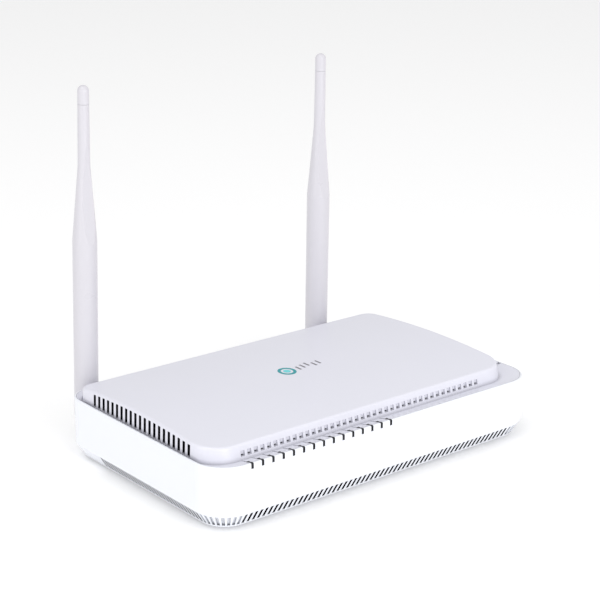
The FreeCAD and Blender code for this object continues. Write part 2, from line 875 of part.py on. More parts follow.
def cornerBlocks(name, less, bottom, top):
    """Blocks in both rear corners, rounded like the tray and kept inside its wall."""
    body = newBody(name + "_slab")
    outline = trayOutline(body, name + "_outline", "wall + fitGap + %s" % less, bottom)
    addFeature(body, "Pad", name + "_pad", outline, "%s - (%s)" % (top, bottom))
    width, length = "recessWidth - %s" % less, "recessLength - %s" % less
    size = (width, length, "recessDepth + 2 * recessWall")
    y, z = "%s - (%s)" % (rearY, length), "%s - recessWall" % recessFloor
    left = box(name + "_left", (leftX, y, z), size)
    right = box(name + "_right", ("bodyWidth / 2 - (%s)" % width, y, z), size)
    return common(name + "_corners", body, fuse(name + "_blocks", left, right))


def makeTopCover():
    body = newBody("cover_shape")
    inset = "rimLip + fitGap"
    flange = trayOutline(body, "flange_outline", inset, flangeZ)
    addFeature(body, "Pad", "flange", flange, "flangeThickness")
    brim = trayOutline(body, "gutter_brim", inset, rimZ)
    foot = plateauOutline(body, "gutter_foot", "0", gutterZ)
    addLoft(body, "SubtractiveLoft", "gutter", brim, foot)
    foot = plateauOutline(body, "plateau_foot", "0", gutterZ)
    head = plateauOutline(body, "plateau_head", "1", apexZ)
    plateau = addLoft(body, "AdditiveLoft", "plateau", foot, head)

    # the crown is a shallow arch along the depth
    crown = newSketch(body, "crown_profile", "YZ_Plane", (leftX, crownY, apexZ))
    reach = "bodyDepth / 2"
    radius, half = value("crownRadius"), value(reach)
    swing = math.asin(half / radius)
    circle = Part.Circle(Vector(0, -radius, 0), Vector(0, 0, 1), radius)
    arc = Part.ArcOfCircle(circle, math.pi / 2 - swing, math.pi / 2 + swing)
    crown.addGeometry(arc, False)
    drop = radius - math.sqrt(radius * radius - half * half)
    headroom = 3
    corners = [
        Vector(half, -drop, 0),
        Vector(half, headroom, 0),
        Vector(-half, headroom, 0),
        Vector(-half, -drop, 0),
    ]
    for start, end in zip(corners, corners[1:]):
        crown.addGeometry(Part.LineSegment(start, end), False)
    for first, end, second, start in ((0, 1, 1, 1), (1, 2, 2, 1), (2, 2, 3, 1), (3, 2, 0, 2)):
        crown.addConstraint(Sketcher.Constraint("Coincident", first, end, second, start))
    for line, direction in ((1, "Vertical"), (2, "Horizontal"), (3, "Vertical")):
        crown.addConstraint(Sketcher.Constraint(direction, line))
    crown.addConstraint(Sketcher.Constraint("PointOnObject", 0, 3, -2))
    dimension(crown, "Radius", (0,), "crownRadius")
    dimension(crown, "DistanceY", (0, 3, -1, 1), "crownRadius")
    dimension(crown, "DistanceX", (-1, 1, 0, 1), reach)
    dimension(crown, "DistanceY", (-1, 1, 1, 2), headroom)
    arch = addFeature(body, "Pocket", "crown", crown, "bodyWidth", True)

    gutter = value(gutterZ)
    middleY = value(crownY)
    rest = value("bodyDepth") / 2 - value("ledgeFront")

    def onCrownEdge(edge):
        box = edge.BoundBox
        return box.ZMin > gutter + 3 and abs(edge.CenterOfMass.y - middleY) < rest + 10

    addFillet(body, "crown_rounding", arch, "coverRounding", onCrownEdge)

    # row of small square recesses along the front, each with a dash that goes through
    squareZ = "%s + squareBottom" % gutterZ
    squareX = "%s + squareFirst" % leftX
    corner = ("%s - squareWidth / 2" % squareX, "%s - 1" % plateauFront, squareZ)
    sketch = newSketch(body, "square", "XZ_Plane", corner)
    drawRectangle(sketch, "squareWidth", "squareHeight")
    lean = "slopeFront * (squareBottom + squareHeight / 2) / (crownHeight + gutterDepth)"
    square = addFeature(body, "Pocket", "square_cut", sketch, "1 + squareDepth + " + lean)
    addRow(body, "squares", square, "X_Axis", "squarePitch", squareCount)
    corner = ("%s - dashWidth / 2" % squareX, "%s - 1" % plateauFront, "%s + dashRise" % squareZ)
    sketch = newSketch(body, "dash", "XZ_Plane", corner)
    drawRectangle(sketch, "dashWidth", "dashHeight")
    dash = addFeature(body, "Pocket", "dash_cut", sketch, "1 + coverWall + slopeFront")
    addRow(body, "dashes", dash, "X_Axis", "squarePitch", squareCount)

    # each indicator has a notch through the brim and a fine groove across the gutter
    ledX = "%s + ledFirst" % leftX
    corner = ("%s - ledWidth / 2" % ledX, frontY, "%s + 1" % rimZ)
    sketch = newSketch(body, "led_brim", "XY_Plane", corner)
    drawRectangle(sketch, "ledWidth", "rimLip + brimNotch")
    notch = addFeature(body, "Pocket", "led_brim_cut", sketch, "flangeThickness + 2")
    addRow(body, "led_brims", notch, "X_Axis", "ledPitch", "ledCount")
    grooveY = "%s + rimLip + brimNotch - 2 * runningGap" % frontY
    corner = ("%s - grooveWidth / 2" % ledX, grooveY, "%s + 1" % rimZ)
    sketch = newSketch(body, "led_groove", "XY_Plane", corner)
    drawRectangle(sketch, "grooveWidth", "grooveLength")
    groove = addFeature(body, "Pocket", "led_groove_cut", sketch, "1 + gutterDepth + grooveDepth")
    addRow(body, "led_grooves", groove, "X_Axis", "ledPitch", "ledCount")

    # the inside follows the outside at the wall's thickness
    hollow = newBody("cover_hollow")
    foot = newSketch(
        hollow,
        "hollow_foot",
        "XY_Plane",
        (
            "%s + ledgeLeft + coverWall" % leftX,
            "%s + coverWall" % plateauFront,
            "%s - 2 * recessWall" % recessFloor,
        ),
    )
    drawRounded(
        foot,
        "bodyWidth - ledgeLeft - ledgeRight - 2 * coverWall - slopeRight",
        "bodyDepth - ledgeFront - ledgeRear - 2 * coverWall - slopeRear",
        "coverFrontRadius - coverWall",
        "coverRearRadius - coverWall",
    )
    addFeature(hollow, "Pad", "hollow_pad", foot, "2 * recessWall + recessDepth + crownHeight")
    inner = rod(
        "cover_inner_arch",
        (leftX, crownY, "%s - crownRadius" % apexZ),
        "crownRadius - coverWall",
        "bodyWidth",
        "X",
    )
    space = common("cover_space", hollow, inner)

    # side vents: bars right across, stopped below the crown by a band of the same thickness
    comb = newBody("vent_comb")
    corner = (leftX, "%s + ventFirst - ventWidth / 2" % frontY, gutterZ + " + 1")
    sketch = newSketch(comb, "vent_bar", "YZ_Plane", corner)
    drawRectangle(sketch, "ventWidth", "crownHeight + gutterDepth")
    bar = addFeature(comb, "Pad", "vent_bar_pad", sketch, "bodyWidth")
    addRow(comb, "vent_bars", bar, "Y_Axis", "ventPitch", ventCount)
    lid = rod(
        "vent_arch",
        (leftX, crownY, "%s - crownRadius" % apexZ),
        "crownRadius - ventBand",
        "bodyWidth",
        "X",
    )
    vents = common("vent_space", comb, lid)

    # a sunk recess in the ledge at each rear corner, beside the antenna
    tubs = cornerBlocks("tub", "0", "%s - recessWall" % recessFloor, "%s + rimLip / 2" % flangeZ)
    sunk = cornerBlocks("sunk", "recessWall", recessFloor, "%s + 1" % rimZ)
    raised = newBody("plateau_prism")
    foot = plateauOutline(raised, "prism_foot", "0", recessFloor + " - 1")
    addFeature(raised, "Pad", "prism_pad", foot, "recessDepth + 2")
    recesses = cut("corner_recesses", sunk, raised)
    shell = cut("cover_shell", fuse("cover_and_tubs", body, tubs), space, vents, recesses)

    # posts that take the case screws, each up to the middle of the crown's wall
    postFoot = "bossTop + fitGap"
    posts = []
    for x, y in bossPlaces:
        wallMiddle = "%s - coverWall / 2 - pow(%s - (%s); 2) / (2 * crownRadius)" % (apexZ, y, crownY)
        height = "%s - (%s)" % (wallMiddle, postFoot)
        posts.append(rod("cover_post", (x, y, postFoot), "postRadius", height))
    bores = [
        rod("post_bore", (x, y, "bossTop - 1"), "screwShankRadius", "%s - bossTop" % rimZ)
        for x, y in bossPlaces
    ]
    whole = fuse("cover_with_posts", shell, *posts)
    return cut("top_cover", whole, *bores)


lowerHousing = keep(makeLowerHousing(), "lower_housing")
topCover = keep(makeTopCover(), "top_cover")


# feet and fasteners

def makeFoot(x, y):
    pad = rod("foot_pad", (x, y, "0"), "footRadius - footBevel", "footHeight + footRecess / 2")
    skirtHeight = "footHeight + footRecess - footStep - runningGap"
    skirt = rod("foot_skirt", (x, y, "footStep"), "footRadius", skirtHeight)
    return fuse("foot", pad, skirt)


def makeCaseScrew(x, y):
    headZ = "screwSeat - screwHeadHeight"
    shankZ = "(screwSeat - screwHeadHeight / 2)"
    head = rod("screw_head", (x, y, headZ), "screwHeadRadius", "screwHeadHeight")
    length = "%s - screwTopGap - %s" % (rimZ, shankZ)
    shank = rod("screw_shank", (x, y, shankZ), "screwShankRadius - threadGap", length)
    recess = rod("screw_recess", (x, y, headZ), "driveRadius", "driveDepth")
    return cut("case_screw", fuse("screw_blank", head, shank), recess)


def makeBoardScrew(x, y):
    head = rod("board_screw_head", (x, y, boardTop), "boardHeadRadius", "boardHeadHeight")
    shank = rod(
        "board_screw_shank",
        (x, y, "%s - boardScrewReach" % boardTop),
        "boardScrewRadius - threadGap",
        "boardScrewReach + boardDriveFloor",
    )
    recess = rod(
        "board_screw_recess",
        (x, y, "%s + boardDriveFloor" % boardTop),
        "boardDriveRadius",
        "boardHeadHeight",
    )
    return cut("board_screw", fuse("board_screw_blank", head, shank), recess)


keep(group("rubber_feet", *[makeFoot(x, y) for x, y in footPlaces]))
keep(group("case_screws", *[makeCaseScrew(x, y) for x, y in bossPlaces]))
keep(group("board_screws", *[makeBoardScrew(x, y) for x, y in standoffPlaces]))


# main board and what stands on it

def makeMainBoard():
    body = newBody("main_board")
    corner = (boardLeft, boardFront, "boardBottom")
    sketch = newSketch(body, "board_outline", "XY_Plane", corner)
    drawRounded(
        sketch,
        "%s - %s" % (boardRight, boardLeft),
        "%s - %s" % (boardRear, boardFront),
        "frontCornerRadius - boardRightGap",
        "boardRearRadius",
    )
    addFeature(body, "Pad", "board_pad", sketch, "boardThickness")
    sketch = newSketch(body, "board_boss_holes", "XY_Plane", ("0", "0", boardTop))
    drawCircles(sketch, bossPlaces, "bossRadius + boardBossGap")
    addFeature(body, "Pocket", "boss_holes", sketch, "boardThickness")
    sketch = newSketch(body, "board_screw_holes", "XY_Plane", ("0", "0", boardTop))
    drawCircles(sketch, standoffPlaces, "boardScrewRadius + 2 * runningGap")
    addFeature(body, "Pocket", "screw_holes", sketch, "boardThickness")
    return body


def onBoard(name, x, fromRear, size):
    """A block on the board; its middle is given across, and its rear face from the board's rear."""
    width, depth, height = size
    corner = ("%s - (%s) / 2" % (x, width), "%s - (%s) - %s" % (boardRear, fromRear, depth), boardTop)
    return box(name, corner, size)


def makeHeatSink():
    size = ("sinkWidth", "sinkWidth", "sinkHeight")
    base = onBoard("sink_base", "-chipLeft", "chipRear - sinkWidth / 2", size)
    channels = [
        box(
            "sink_channel",
            (
                "-chipLeft - sinkWidth / 2 + finEdge + %d * finPitch" % index,
                "%s - chipRear - sinkWidth / 2 - 1" % boardRear,
                "%s + sinkBase" % boardTop,
            ),
            ("finGap", "sinkWidth + 2", "sinkHeight"),
        )
        for index in range(sizes["finCount"])
    ]
    finned = cut("sink_fins", base, *channels)
    bind(finned, ".Placement.Base.z", "chipHeight")
    return finned


def makeCapacitor(x, fromRear):
    y = "%s - %s" % (boardRear, fromRear)
    can = rod("capacitor_can", (x, y, boardTop), "canRadius", "canHeight")
    groove = doc.addObject("Part::Torus", "capacitor_groove")
    bind(groove, "Radius1", "canRadius + fitGap")
    bind(groove, "Radius2", "canGroove")
    place(groove, (x, y, "%s + canGrooveRise" % boardTop))
    return cut("capacitor", can, groove)


def makeInductor(x, fromRear):
    y = "%s - %s" % (boardRear, fromRear)
    core = rod("inductor_core", (x, y, boardTop), "coreRadius", "coilHeight")
    rimAt = (x, y, "%s + coilHeight - coilRim" % boardTop)
    rim = rod("inductor_rim", rimAt, "coilRadius", "coilRim")
    foot = rod("inductor_foot", (x, y, boardTop), "coilRadius", "coilRim")
    return fuse("inductor", core, rim, foot)


def makeStatusLed(index):
    x = "%s + ledFirst + %d * ledPitch - lampWidth / 2" % (leftX, index)
    corner = (x, "%s + lampInset" % boardFront, boardTop)
    return box("status_led", corner, ("lampWidth", "lampDepth", "lampHeight"))


def makeTransformer(name, x):
    return onBoard(name, x, "transformerRear", ("transformerWidth", "transformerDepth", "transformerHeight"))


def makeLightPipe():
    legY = "(%s + wall + 2 * fitGap)" % frontY
    railZ = "(%s + railRise)" % boardTop
    windowY = "(%s + windowSink)" % frontY
    rail = box(
        "light_rail",
        ("%s + ledFirst - railEnd" % leftX, legY, railZ),
        ("(ledCount - 1) * ledPitch + 2 * railEnd", "%s + railReach - %s" % (boardFront, legY), "railHeight"),
    )
    parts = [rail]
    width = "ledWidth - 2 * windowSideGap"
    legHeight = "%s - windowTopGap - %s" % (rimZ, railZ)
    windowSize = (width, "%s + legDepth - %s" % (legY, windowY), "ledDrop - windowTopGap - runningGap")
    for index in range(sizes["ledCount"]):
        x = "%s + ledFirst + %d * ledPitch - ledWidth / 2 + windowSideGap" % (leftX, index)
        parts.append(box("light_leg", (x, legY, railZ), (width, "legDepth", legHeight)))
        windowAt = (x, windowY, "%s - ledDrop + runningGap" % rimZ)
        parts.append(box("light_window", windowAt, windowSize))
    return fuse("light_pipe", *parts)


keep(makeMainBoard(), "main_board")
keep(onBoard("main_chip", "-chipLeft", "chipRear - chipWidth / 2", ("chipWidth", "chipWidth", "chipHeight")))
keep(makeHeatSink(), "heat_sink")
keep(onBoard("memory_chip", "memoryX", "memoryRear", ("memoryWidth", "memoryDepth", "memoryHeight")))
keep(onBoard("rf_shield", "shieldX", "shieldRear", ("shieldWidth", "shieldDepth", "shieldHeight")))
keep(
    group(
        "lan_transformers",
        makeTransformer("first_transformer", "(-lanFirst + lanPitch / 2)"),
        makeTransformer("second_transformer", "(-lanFirst + 5 * lanPitch / 2)"),
    )
)
keep(
    group(
        "filter_capacitors",
        makeCapacitor("inletCapacitorX", "inletCapacitorRear"),
        makeCapacitor("usbCapacitorX", "inletCapacitorRear"),
        makeCapacitor("-phoneCapacitorX", "phoneCapacitorRear"),
    )
)
keep(
    group(
        "power_inductors",
        makeInductor("inletInductorX", "inletInductorRear"),
        makeInductor("-phoneInductorX", "phoneInductorRear"),
    )
)
keep(group("status_leds", *[makeStatusLed(index) for index in range(sizes["ledCount"])]))
keep(makeLightPipe(), "light_pipe")


# rear panel and its connectors

panelFace = "(%s - panelSink)" % rearY
portFace = "(%s - portSink)" % panelFace
opticalZ = "(%s + opticalAxis)" % boardTop
phoneXs = ["(-phoneFirst + %d * phonePitch)" % index for index in range(2)]
lanXs = ["(-lanFirst + %d * lanPitch)" % index for index in range(4)]


def makePortPanel():
    body = newBody("port_panel")
    corner = ("-windowLeft + fitGap", panelFace, "windowBottom + fitGap")
    sketch = newSketch(body, "panel_outline", "XZ_Plane", corner)
    drawRectangle(sketch, "windowLeft + windowRight - 2 * fitGap", "windowHeight - 2 * fitGap")
    addFeature(body, "Pad", "panel_pad", sketch, "panelThickness")
    openings = [("optical", "-opticalX")]
    openings += [("phone", x) for x in phoneXs]
    openings += [("lan", x) for x in lanXs]
    openings.append(("usb", "usbX"))
    for name, x in openings:
        left = "%s - %sWidth / 2 - panelGap" % (x, name)
        corner = (left, "%s - panelThickness - 1" % panelFace, "%s - panelGap" % boardTop)
        sketch = newSketch(body, name + "_opening", "XZ_Plane", corner)
        drawRectangle(sketch, "%sWidth + 2 * panelGap" % name, "%sHeight + 2 * panelGap" % name)
        addFeature(body, "Pocket", name + "_cut", sketch, "panelThickness + 2")
    return body


def connector(kind, x):
    """The block of one kind of connector, whose outer sizes begin with the kind's name."""
    size = (kind + "Width", kind + "Depth", kind + "Height")
    corner = ("%s - %sWidth / 2" % (x, kind), "%s - %sDepth" % (portFace, kind), boardTop)
    return box(kind + "_block", corner, size)


def socket(kind, x):
    """A space that a plug goes into, open at the rear; its sizes begin with the kind's name."""
    corner = (
        "%s - %sWidth / 2" % (x, kind),
        "%s - %sDepth" % (portFace, kind),
        "%s + %sLow" % (boardTop, kind),
    )
    return box(kind + "_space", corner, (kind + "Width", kind + "Depth + 1", kind + "Height"))


def makeLanJack(name, x):
    return cut(name, connector("lan", x), socket("lanMouth", x), socket("lanLatch", x), socket("lanNotch", x))


def makePhoneJack(name, x):
    return cut(name, connector("phone", x), socket("phoneMouth", x), socket("phoneLatch", x))


def makeOpticalPort():
    x = "-opticalX"
    shell = cut("optical_shell", connector("optical", x), socket("opticalMouth", x), socket("opticalKey", x))
    collarY = "%s - opticalMouthDepth - collarRoot" % portFace
    collar = rod("optical_collar", (x, collarY, opticalZ), "collarRadius", "collarLength", "Y")
    boreY = "%s - opticalMouthDepth - collarStart" % portFace
    bore = rod("optical_bore", (x, boreY, opticalZ), "ferruleRadius", "opticalMouthDepth", "Y")
    return cut("optical_port", fuse("optical_blank", shell, collar), bore)


def makeTransceiver():
    x = "-opticalX"
    start = "%s - opticalDepth - runningGap" % portFace
    barrelY = "%s - barrelLength" % start
    barrel = rod("transceiver_barrel", (x, barrelY, opticalZ), "barrelRadius", "barrelLength", "Y")
    flangeY = "%s - barrelFlange" % start
    flange = rod("transceiver_flange", (x, flangeY, opticalZ), "flangeRadius", "barrelFlange", "Y")
    canY = "(%s - transceiverReach)" % start
    can = box(
        "transceiver_can",
        ("-opticalX - transceiverWidth / 2", canY, "%s + transceiverRise" % boardTop),
        ("transceiverWidth", "transceiverDepth", "transceiverHeight"),
    )
    cradle = box(
        "transceiver_cradle",
        ("-opticalX - cradleWidth / 2", canY + " + transceiverRise", boardTop),
        ("cradleWidth", "cradleWidth", "transceiverRise + 0.5"),
    )
    return fuse("optical_transceiver", barrel, flange, can, cradle)


def makeUsbPort():
    corner = (
        "usbX - usbWidth / 2 + usbShell",
        "%s - usbMouthDepth" % portFace,
        "%s + usbShell" % boardTop,
    )
    size = ("usbWidth - 2 * usbShell", "usbMouthDepth + 1", "usbHeight - 2 * usbShell")
    return cut("usb_port", connector("usb", "usbX"), box("usb_space", corner, size))


def makeUsbTongue():
    backY = "%s - usbMouthDepth + runningGap" % portFace
    back = box(
        "usb_tongue_back",
        ("usbX - usbWidth / 2 + usbShell + runningGap", backY, "%s + usbShell + runningGap" % boardTop),
        (
            "usbWidth - 2 * usbShell - 2 * runningGap",
            "usbTongueRoot",
            "usbHeight - 2 * usbShell - 2 * runningGap",
        ),
    )
    bladeZ = "%s + usbHeight - usbShell - usbBladeDrop" % boardTop
    blade = box(
        "usb_tongue_blade",
        ("usbX - usbBladeWidth / 2", "%s - usbBladeReach" % portFace, bladeZ),
        ("usbBladeWidth", "usbBladeLength", "usbBladeThickness"),
    )
    return fuse("usb_tongue", back, blade)


def makePowerBore(name, radius, length):
    middleZ = "%s + powerHeight / 2 + powerBoreRise" % boardTop
    return rod(name, ("powerX", "%s - powerBoreDepth" % portFace, middleZ), radius, length, "Y")


def makePowerJack():
    wide = box(
        "power_block",
        ("powerX - powerWidth / 2", "%s - powerDepth" % portFace, boardTop),
        ("powerWidth", "powerDepth + panelSink + portSink", "powerHeight"),
    )
    return cut("power_jack", wide, makePowerBore("power_bore", "powerBore", "powerBoreDepth + 2.5"))


keep(makePortPanel(), "port_panel")
keep(makeOpticalPort())
keep(makeTransceiver())
for index, x in enumerate(phoneXs, start=1):
    keep(makePhoneJack("phone_jack_%d" % index, x))
for index, x in enumerate(lanXs, start=1):
    keep(makeLanJack("lan_jack_%d" % index, x))
keep(makeUsbPort())
keep(makeUsbTongue())
keep(makePowerJack())
keep(makePowerBore("power_jack_pin", "powerPin", "powerPinLength"))


# buttons

buttonZ = "(%s + switchWidth / 2)" % boardTop
buttonStart = "(%s - wall - buttonRoot)" % rearY
switchFace = "(%s - wall - switchGap - buttonTravel)" % rearY


def around(middle, width):
    return "%s - (%s) / 2" % (middle, width)


def makePowerSwitch():
    block = box(
        "switch_block",
        (around("switchX", "switchWidth"), "%s - switchDepth" % switchFace, boardTop),
        ("switchWidth", "switchDepth", "switchWidth"),
    )
    width = "stemWidth + 4 * stemGap"
    bore = box(
        "switch_bore",
        (around("switchX", width), "%s - switchBore" % switchFace, around(buttonZ, width)),
        (width, "switchBore + 1", width),
    )
    return cut("power_switch", block, bore)


def makePowerButton():
    cap = box(
        "button_cap",
        (around("switchX", "buttonWidth"), buttonStart, around(buttonZ, "buttonWidth")),
        ("buttonWidth", "wall + buttonRoot + buttonProud", "buttonWidth"),
    )
    width = "buttonWidth + 2 * buttonFlange"
    flange = box(
        "button_flange",
        (around("switchX", width), "%s - 1" % buttonStart, around(buttonZ, width)),
        (width, "1 + 2 * fitGap", width),
    )
    stem = box(
        "button_stem",
        (around("switchX", "stemWidth"), "%s - stemReach" % switchFace, around(buttonZ, "stemWidth")),
        ("stemWidth", "%s - %s + stemReach" % (buttonStart, switchFace), "stemWidth"),
    )
    return fuse("power_button", cap, flange, stem)


wallIn = "(bodyWidth / 2 - wall)"
switchIn = "(%s - sideSwitchGap)" % wallIn
stemX = "(%s + sideTravel + stemGap)" % switchIn
flangeX = "(%s - sideFlangeSink)" % wallIn


def sideY(index):
    return "(%s - sideButtonRear + %d * sideButtonPitch)" % (rearY, index)


def sideBlock(name, x, y, length, width, height):
    """A block of a side button, whose middle is at the button's height."""
    return box(name, (x, around(y, width), around("sideButtonZ", height)), (length, width, height))


def makeSideButton(name, y):
    capX = "%s - sideButtonRoot" % wallIn
    capLength = "wall + sideButtonRoot + sideButtonProud"
    cap = sideBlock(name + "_cap", capX, y, capLength, "sideButtonWidth", "sideButtonHeight")
    wide, tall = "sideButtonWidth + 2 * sideFlange", "sideButtonHeight + 2 * sideFlange"
    flange = sideBlock(name + "_flange", flangeX, y, "1", wide, tall)
    stemLength = "%s - 1 - %s" % (wallIn, stemX)
    stem = sideBlock(name + "_stem", stemX, y, stemLength, "sideStemWidth", "sideStemWidth")
    return fuse(name, cap, flange, stem)


def makeResetButton():
    y = sideY(2)
    length = "bodyWidth / 2 - resetSink - %s" % stemX
    pin = rod("reset_pin", (stemX, y, "sideButtonZ"), "resetRadius", length, "X")
    flange = rod("reset_flange", (flangeX, y, "sideButtonZ"), "resetFlange", "1", "X")
    return fuse("reset_button", pin, flange)


def makeSideSwitch(index):
    corner = ("%s - sideSwitchDepth" % switchIn, around(sideY(index), "sideSwitchWidth"), boardTop)
    return box("tact_base", corner, ("sideSwitchDepth", "sideSwitchWidth", "sideSwitchWidth"))


keep(makePowerSwitch())
keep(makePowerButton())
keep(makeSideButton("wlan_button", sideY(0)))
keep(makeSideButton("wps_button", sideY(1)))
keep(makeResetButton())
keep(group("side_switches", *[makeSideSwitch(index) for index in range(3)]))


# antennas: each one's pieces are made about the middle of its hinge, upright, and then placed

def atHinge(item, name, x, lean):
    item.Placement = FreeCAD.Placement(Vector(), FreeCAD.Rotation(Vector(0, 1, 0), 1))
    bind(item, ".Placement.Rotation.Angle", lean)
    place(item, (x, hingeY, "hingeHeight"))
    return keep(item, name)


sleeveTop = "(antennaLength - tipLength)"
clevisDepth = "(sleeveRadius + clevisRoom)"
stemStart = "(-hingeOffset - wall - stemLength)"
whipRadius = "(tipRadius + whipStep)"
clipRadius = "(stemRadius + clipWidth)"
across = "(4 * sleeveRadius)"


def makeSleeve(side):
    def named(text):
        return side + "_sleeve_" + text

    taperLength = "taperEnd - taperStart"
    outside = fuse(
        named("outside"),
        ball(named("end"), ("0", "0", "0"), "sleeveRadius"),
        rod(named("barrel"), ("0", "0", "0"), "sleeveRadius", "taperStart"),
        cone(named("taper"), ("0", "0", "taperStart"), "sleeveRadius", whipRadius, taperLength),
        cone(named("whip"), ("0", "0", "taperEnd"), whipRadius, "tipRadius", "%s - taperEnd" % sleeveTop),
    )
    scoops = [
        rod(
            named("scoop"),
            ("-%s" % across, "%s(scoopRadius + tipRadius - 2 * runningGap)" % sign, "taperEnd"),
            "scoopRadius",
            "2 * %s" % across,
            "X",
        )
        for sign in ("-", "")
    ]
    slot = box(
        named("slot"),
        ("-tongueWidth / 2 - clevisGap", "-%s" % across, "-%s" % across),
        ("tongueWidth + 2 * clevisGap", "2 * %s" % across, "%s + %s" % (across, clevisDepth)),
    )
    wide = rod(
        named("wide_bore"),
        ("0", "0", "%s + boreFloor" % clevisDepth),
        "sleeveRadius - sleeveWall",
        "taperStart - %s - boreShort" % clevisDepth,
    )
    narrow = rod(
        named("narrow_bore"),
        ("0", "0", "%s - 1" % clevisDepth),
        "narrowBore",
        "%s - %s - narrowShort" % (sleeveTop, clevisDepth),
    )
    pinHole = rod(named("pin_hole"), ("-%s" % across, "0", "0"), "pinRadius + pinFit", "2 * %s" % across, "X")
    return cut(named("solid"), outside, *scoops, slot, wide, narrow, pinHole)


def makeTip(side):
    seam = "2 * runningGap"
    start = ("0", "0", "%s + %s" % (sleeveTop, seam))
    barrel = rod(side + "_tip_barrel", start, "tipRadius", "tipLength - tipRadius - %s" % seam)
    dome = ball(side + "_tip_dome", ("0", "0", "antennaLength - tipRadius"), "tipRadius")
    return fuse(side + "_tip_solid", barrel, dome)


def makeRadiator(side):
    foot = ("0", "0", "%s + radiatorRise" % clevisDepth)
    tube = rod(side + "_radiator_tube", foot, "radiatorTube", "taperStart - %s - radiatorShort" % clevisDepth)
    whipLength = "%s - %s - whipShort" % (sleeveTop, clevisDepth)
    whip = rod(side + "_radiator_whip", foot, "radiatorWhip", whipLength)
    return fuse(side + "_radiator_solid", tube, whip)


def makeElbow(side):
    def onAxis(text, start, radius, length):
        return rod(side + "_elbow_" + text, ("0", start, "0"), radius, length, "Y")

    head = onAxis("head", "-hingeOffset + fitGap", "bushingFlange", "elbowHead")
    neck = box(
        side + "_elbow_neck",
        ("-tongueWidth / 2", "-hingeOffset + neckStart", "-neckHeight / 2"),
        ("tongueWidth", "hingeOffset - neckStart", "neckHeight"),
    )
    disc = rod(side + "_elbow_disc", ("-tongueWidth / 2", "0", "0"), "tongueRadius", "tongueWidth", "X")
    stem = onAxis("stem", stemStart, "stemRadius", "wall + stemLength + 2 * fitGap")
    grooveWidth = "clipThickness + 2 * runningGap"
    groove = onAxis("groove", "%s + clipStart" % stemStart, "stemRadius + 1", grooveWidth)
    core = onAxis("core", "%s + clipStart / 2" % stemStart, "stemRadius - clipBite", "2 * clipThickness")
    grooved = fuse(side + "_elbow_stem_grooved", cut(side + "_elbow_stem_cut", stem, groove), core)
    lead = onAxis("lead", "%s - 1" % stemStart, "leadRadius", "wall + stemLength + 2")
    holeAt = ("-%s" % across, "0", "0")
    hole = rod(side + "_elbow_hole", holeAt, "pinRadius + runningGap", "2 * %s" % across, "X")
    blank = fuse(side + "_elbow_blank", head, neck, disc, grooved)
    return cut(side + "_elbow_solid", blank, lead, hole)


def makeClip(side):
    start = "(%s + clipStart + runningGap)" % stemStart
    holeAt = ("0", "%s - 1" % start, "0")
    reach = "2 + clipThickness"
    ring = rod(side + "_clip_ring", ("0", start, "0"), clipRadius, "clipThickness", "Y")
    hole = rod(side + "_clip_hole", holeAt, "stemRadius - clipBite + runningGap", reach, "Y")
    corner = ("-clipMouth / 2", "%s - 1" % start, "-2 * %s" % clipRadius)
    mouth = box(side + "_clip_mouth", corner, ("clipMouth", reach, "2 * %s" % clipRadius))
    return cut(side + "_clip_solid", ring, hole, mouth)


def makeBushing(side):
    inner = "(%s + clipStart + clipThickness + bushingGap)" % stemStart
    at = ("0", inner, "0")
    barrelLength = "-hingeOffset - 2 * runningGap - %s" % inner
    flangeLength = "-hingeOffset - wall - runningGap - %s" % inner
    barrel = rod(side + "_bushing_barrel", at, "bushingRadius", barrelLength, "Y")
    flange = rod(side + "_bushing_flange", at, "bushingFlange", flangeLength, "Y")
    boreAt = ("0", "%s - 1" % inner, "0")
    bore = rod(side + "_bushing_bore", boreAt, "stemRadius + runningGap", "wall + stemLength + 2", "Y")
    return cut(side + "_bushing_solid", fuse(side + "_bushing_blank", barrel, flange), bore)


def makeHingePin(side):
    pin = rod(side + "_pin_blank", ("-pinLength / 2", "0", "0"), "pinRadius", "pinLength", "X")
    return group(side + "_pin_solid", pin)


for side, x, lean in (
    ("left", "-leftAntennaX", "leftLean"),
    ("right", "rightAntennaX", "rightLean"),
):
    atHinge(makeBushing(side), side + "_antenna_bushing", x, "0")
    atHinge(makeElbow(side), side + "_antenna_elbow", x, lean)
    atHinge(makeClip(side), side + "_elbow_clip", x, lean)
    atHinge(makeHingePin(side), side + "_hinge_pin", x, lean)
    atHinge(makeSleeve(side), side + "_antenna_sleeve", x, lean)
    atHinge(makeTip(side), side + "_antenna_tip", x, lean)
    atHinge(makeRadiator(side), side + "_antenna_radiator", x, lean)


def finish():
    doc.recompute()
    for item in doc.Objects:
        if {"Invalid", "Error"} & set(item.State):
            raise RuntimeError("%s: %s" % (item.Name, item.State))
    os.makedirs("parts", exist_ok=True)
    for item in nodes:
        if item.Shape.isNull() or not item.Shape.isValid():
            raise RuntimeError("%s has no valid shape" % item.Label)
        item.Shape.exportStep("parts/%s.step" % item.Label)
        print("%-24s %2d solid(s) %10.1f mm3" % (item.Label, len(item.Shape.Solids), item.Shape.Volume))


finish()
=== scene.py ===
import math
import random

import bmesh
import bpy
from mathutils import Matrix, Vector


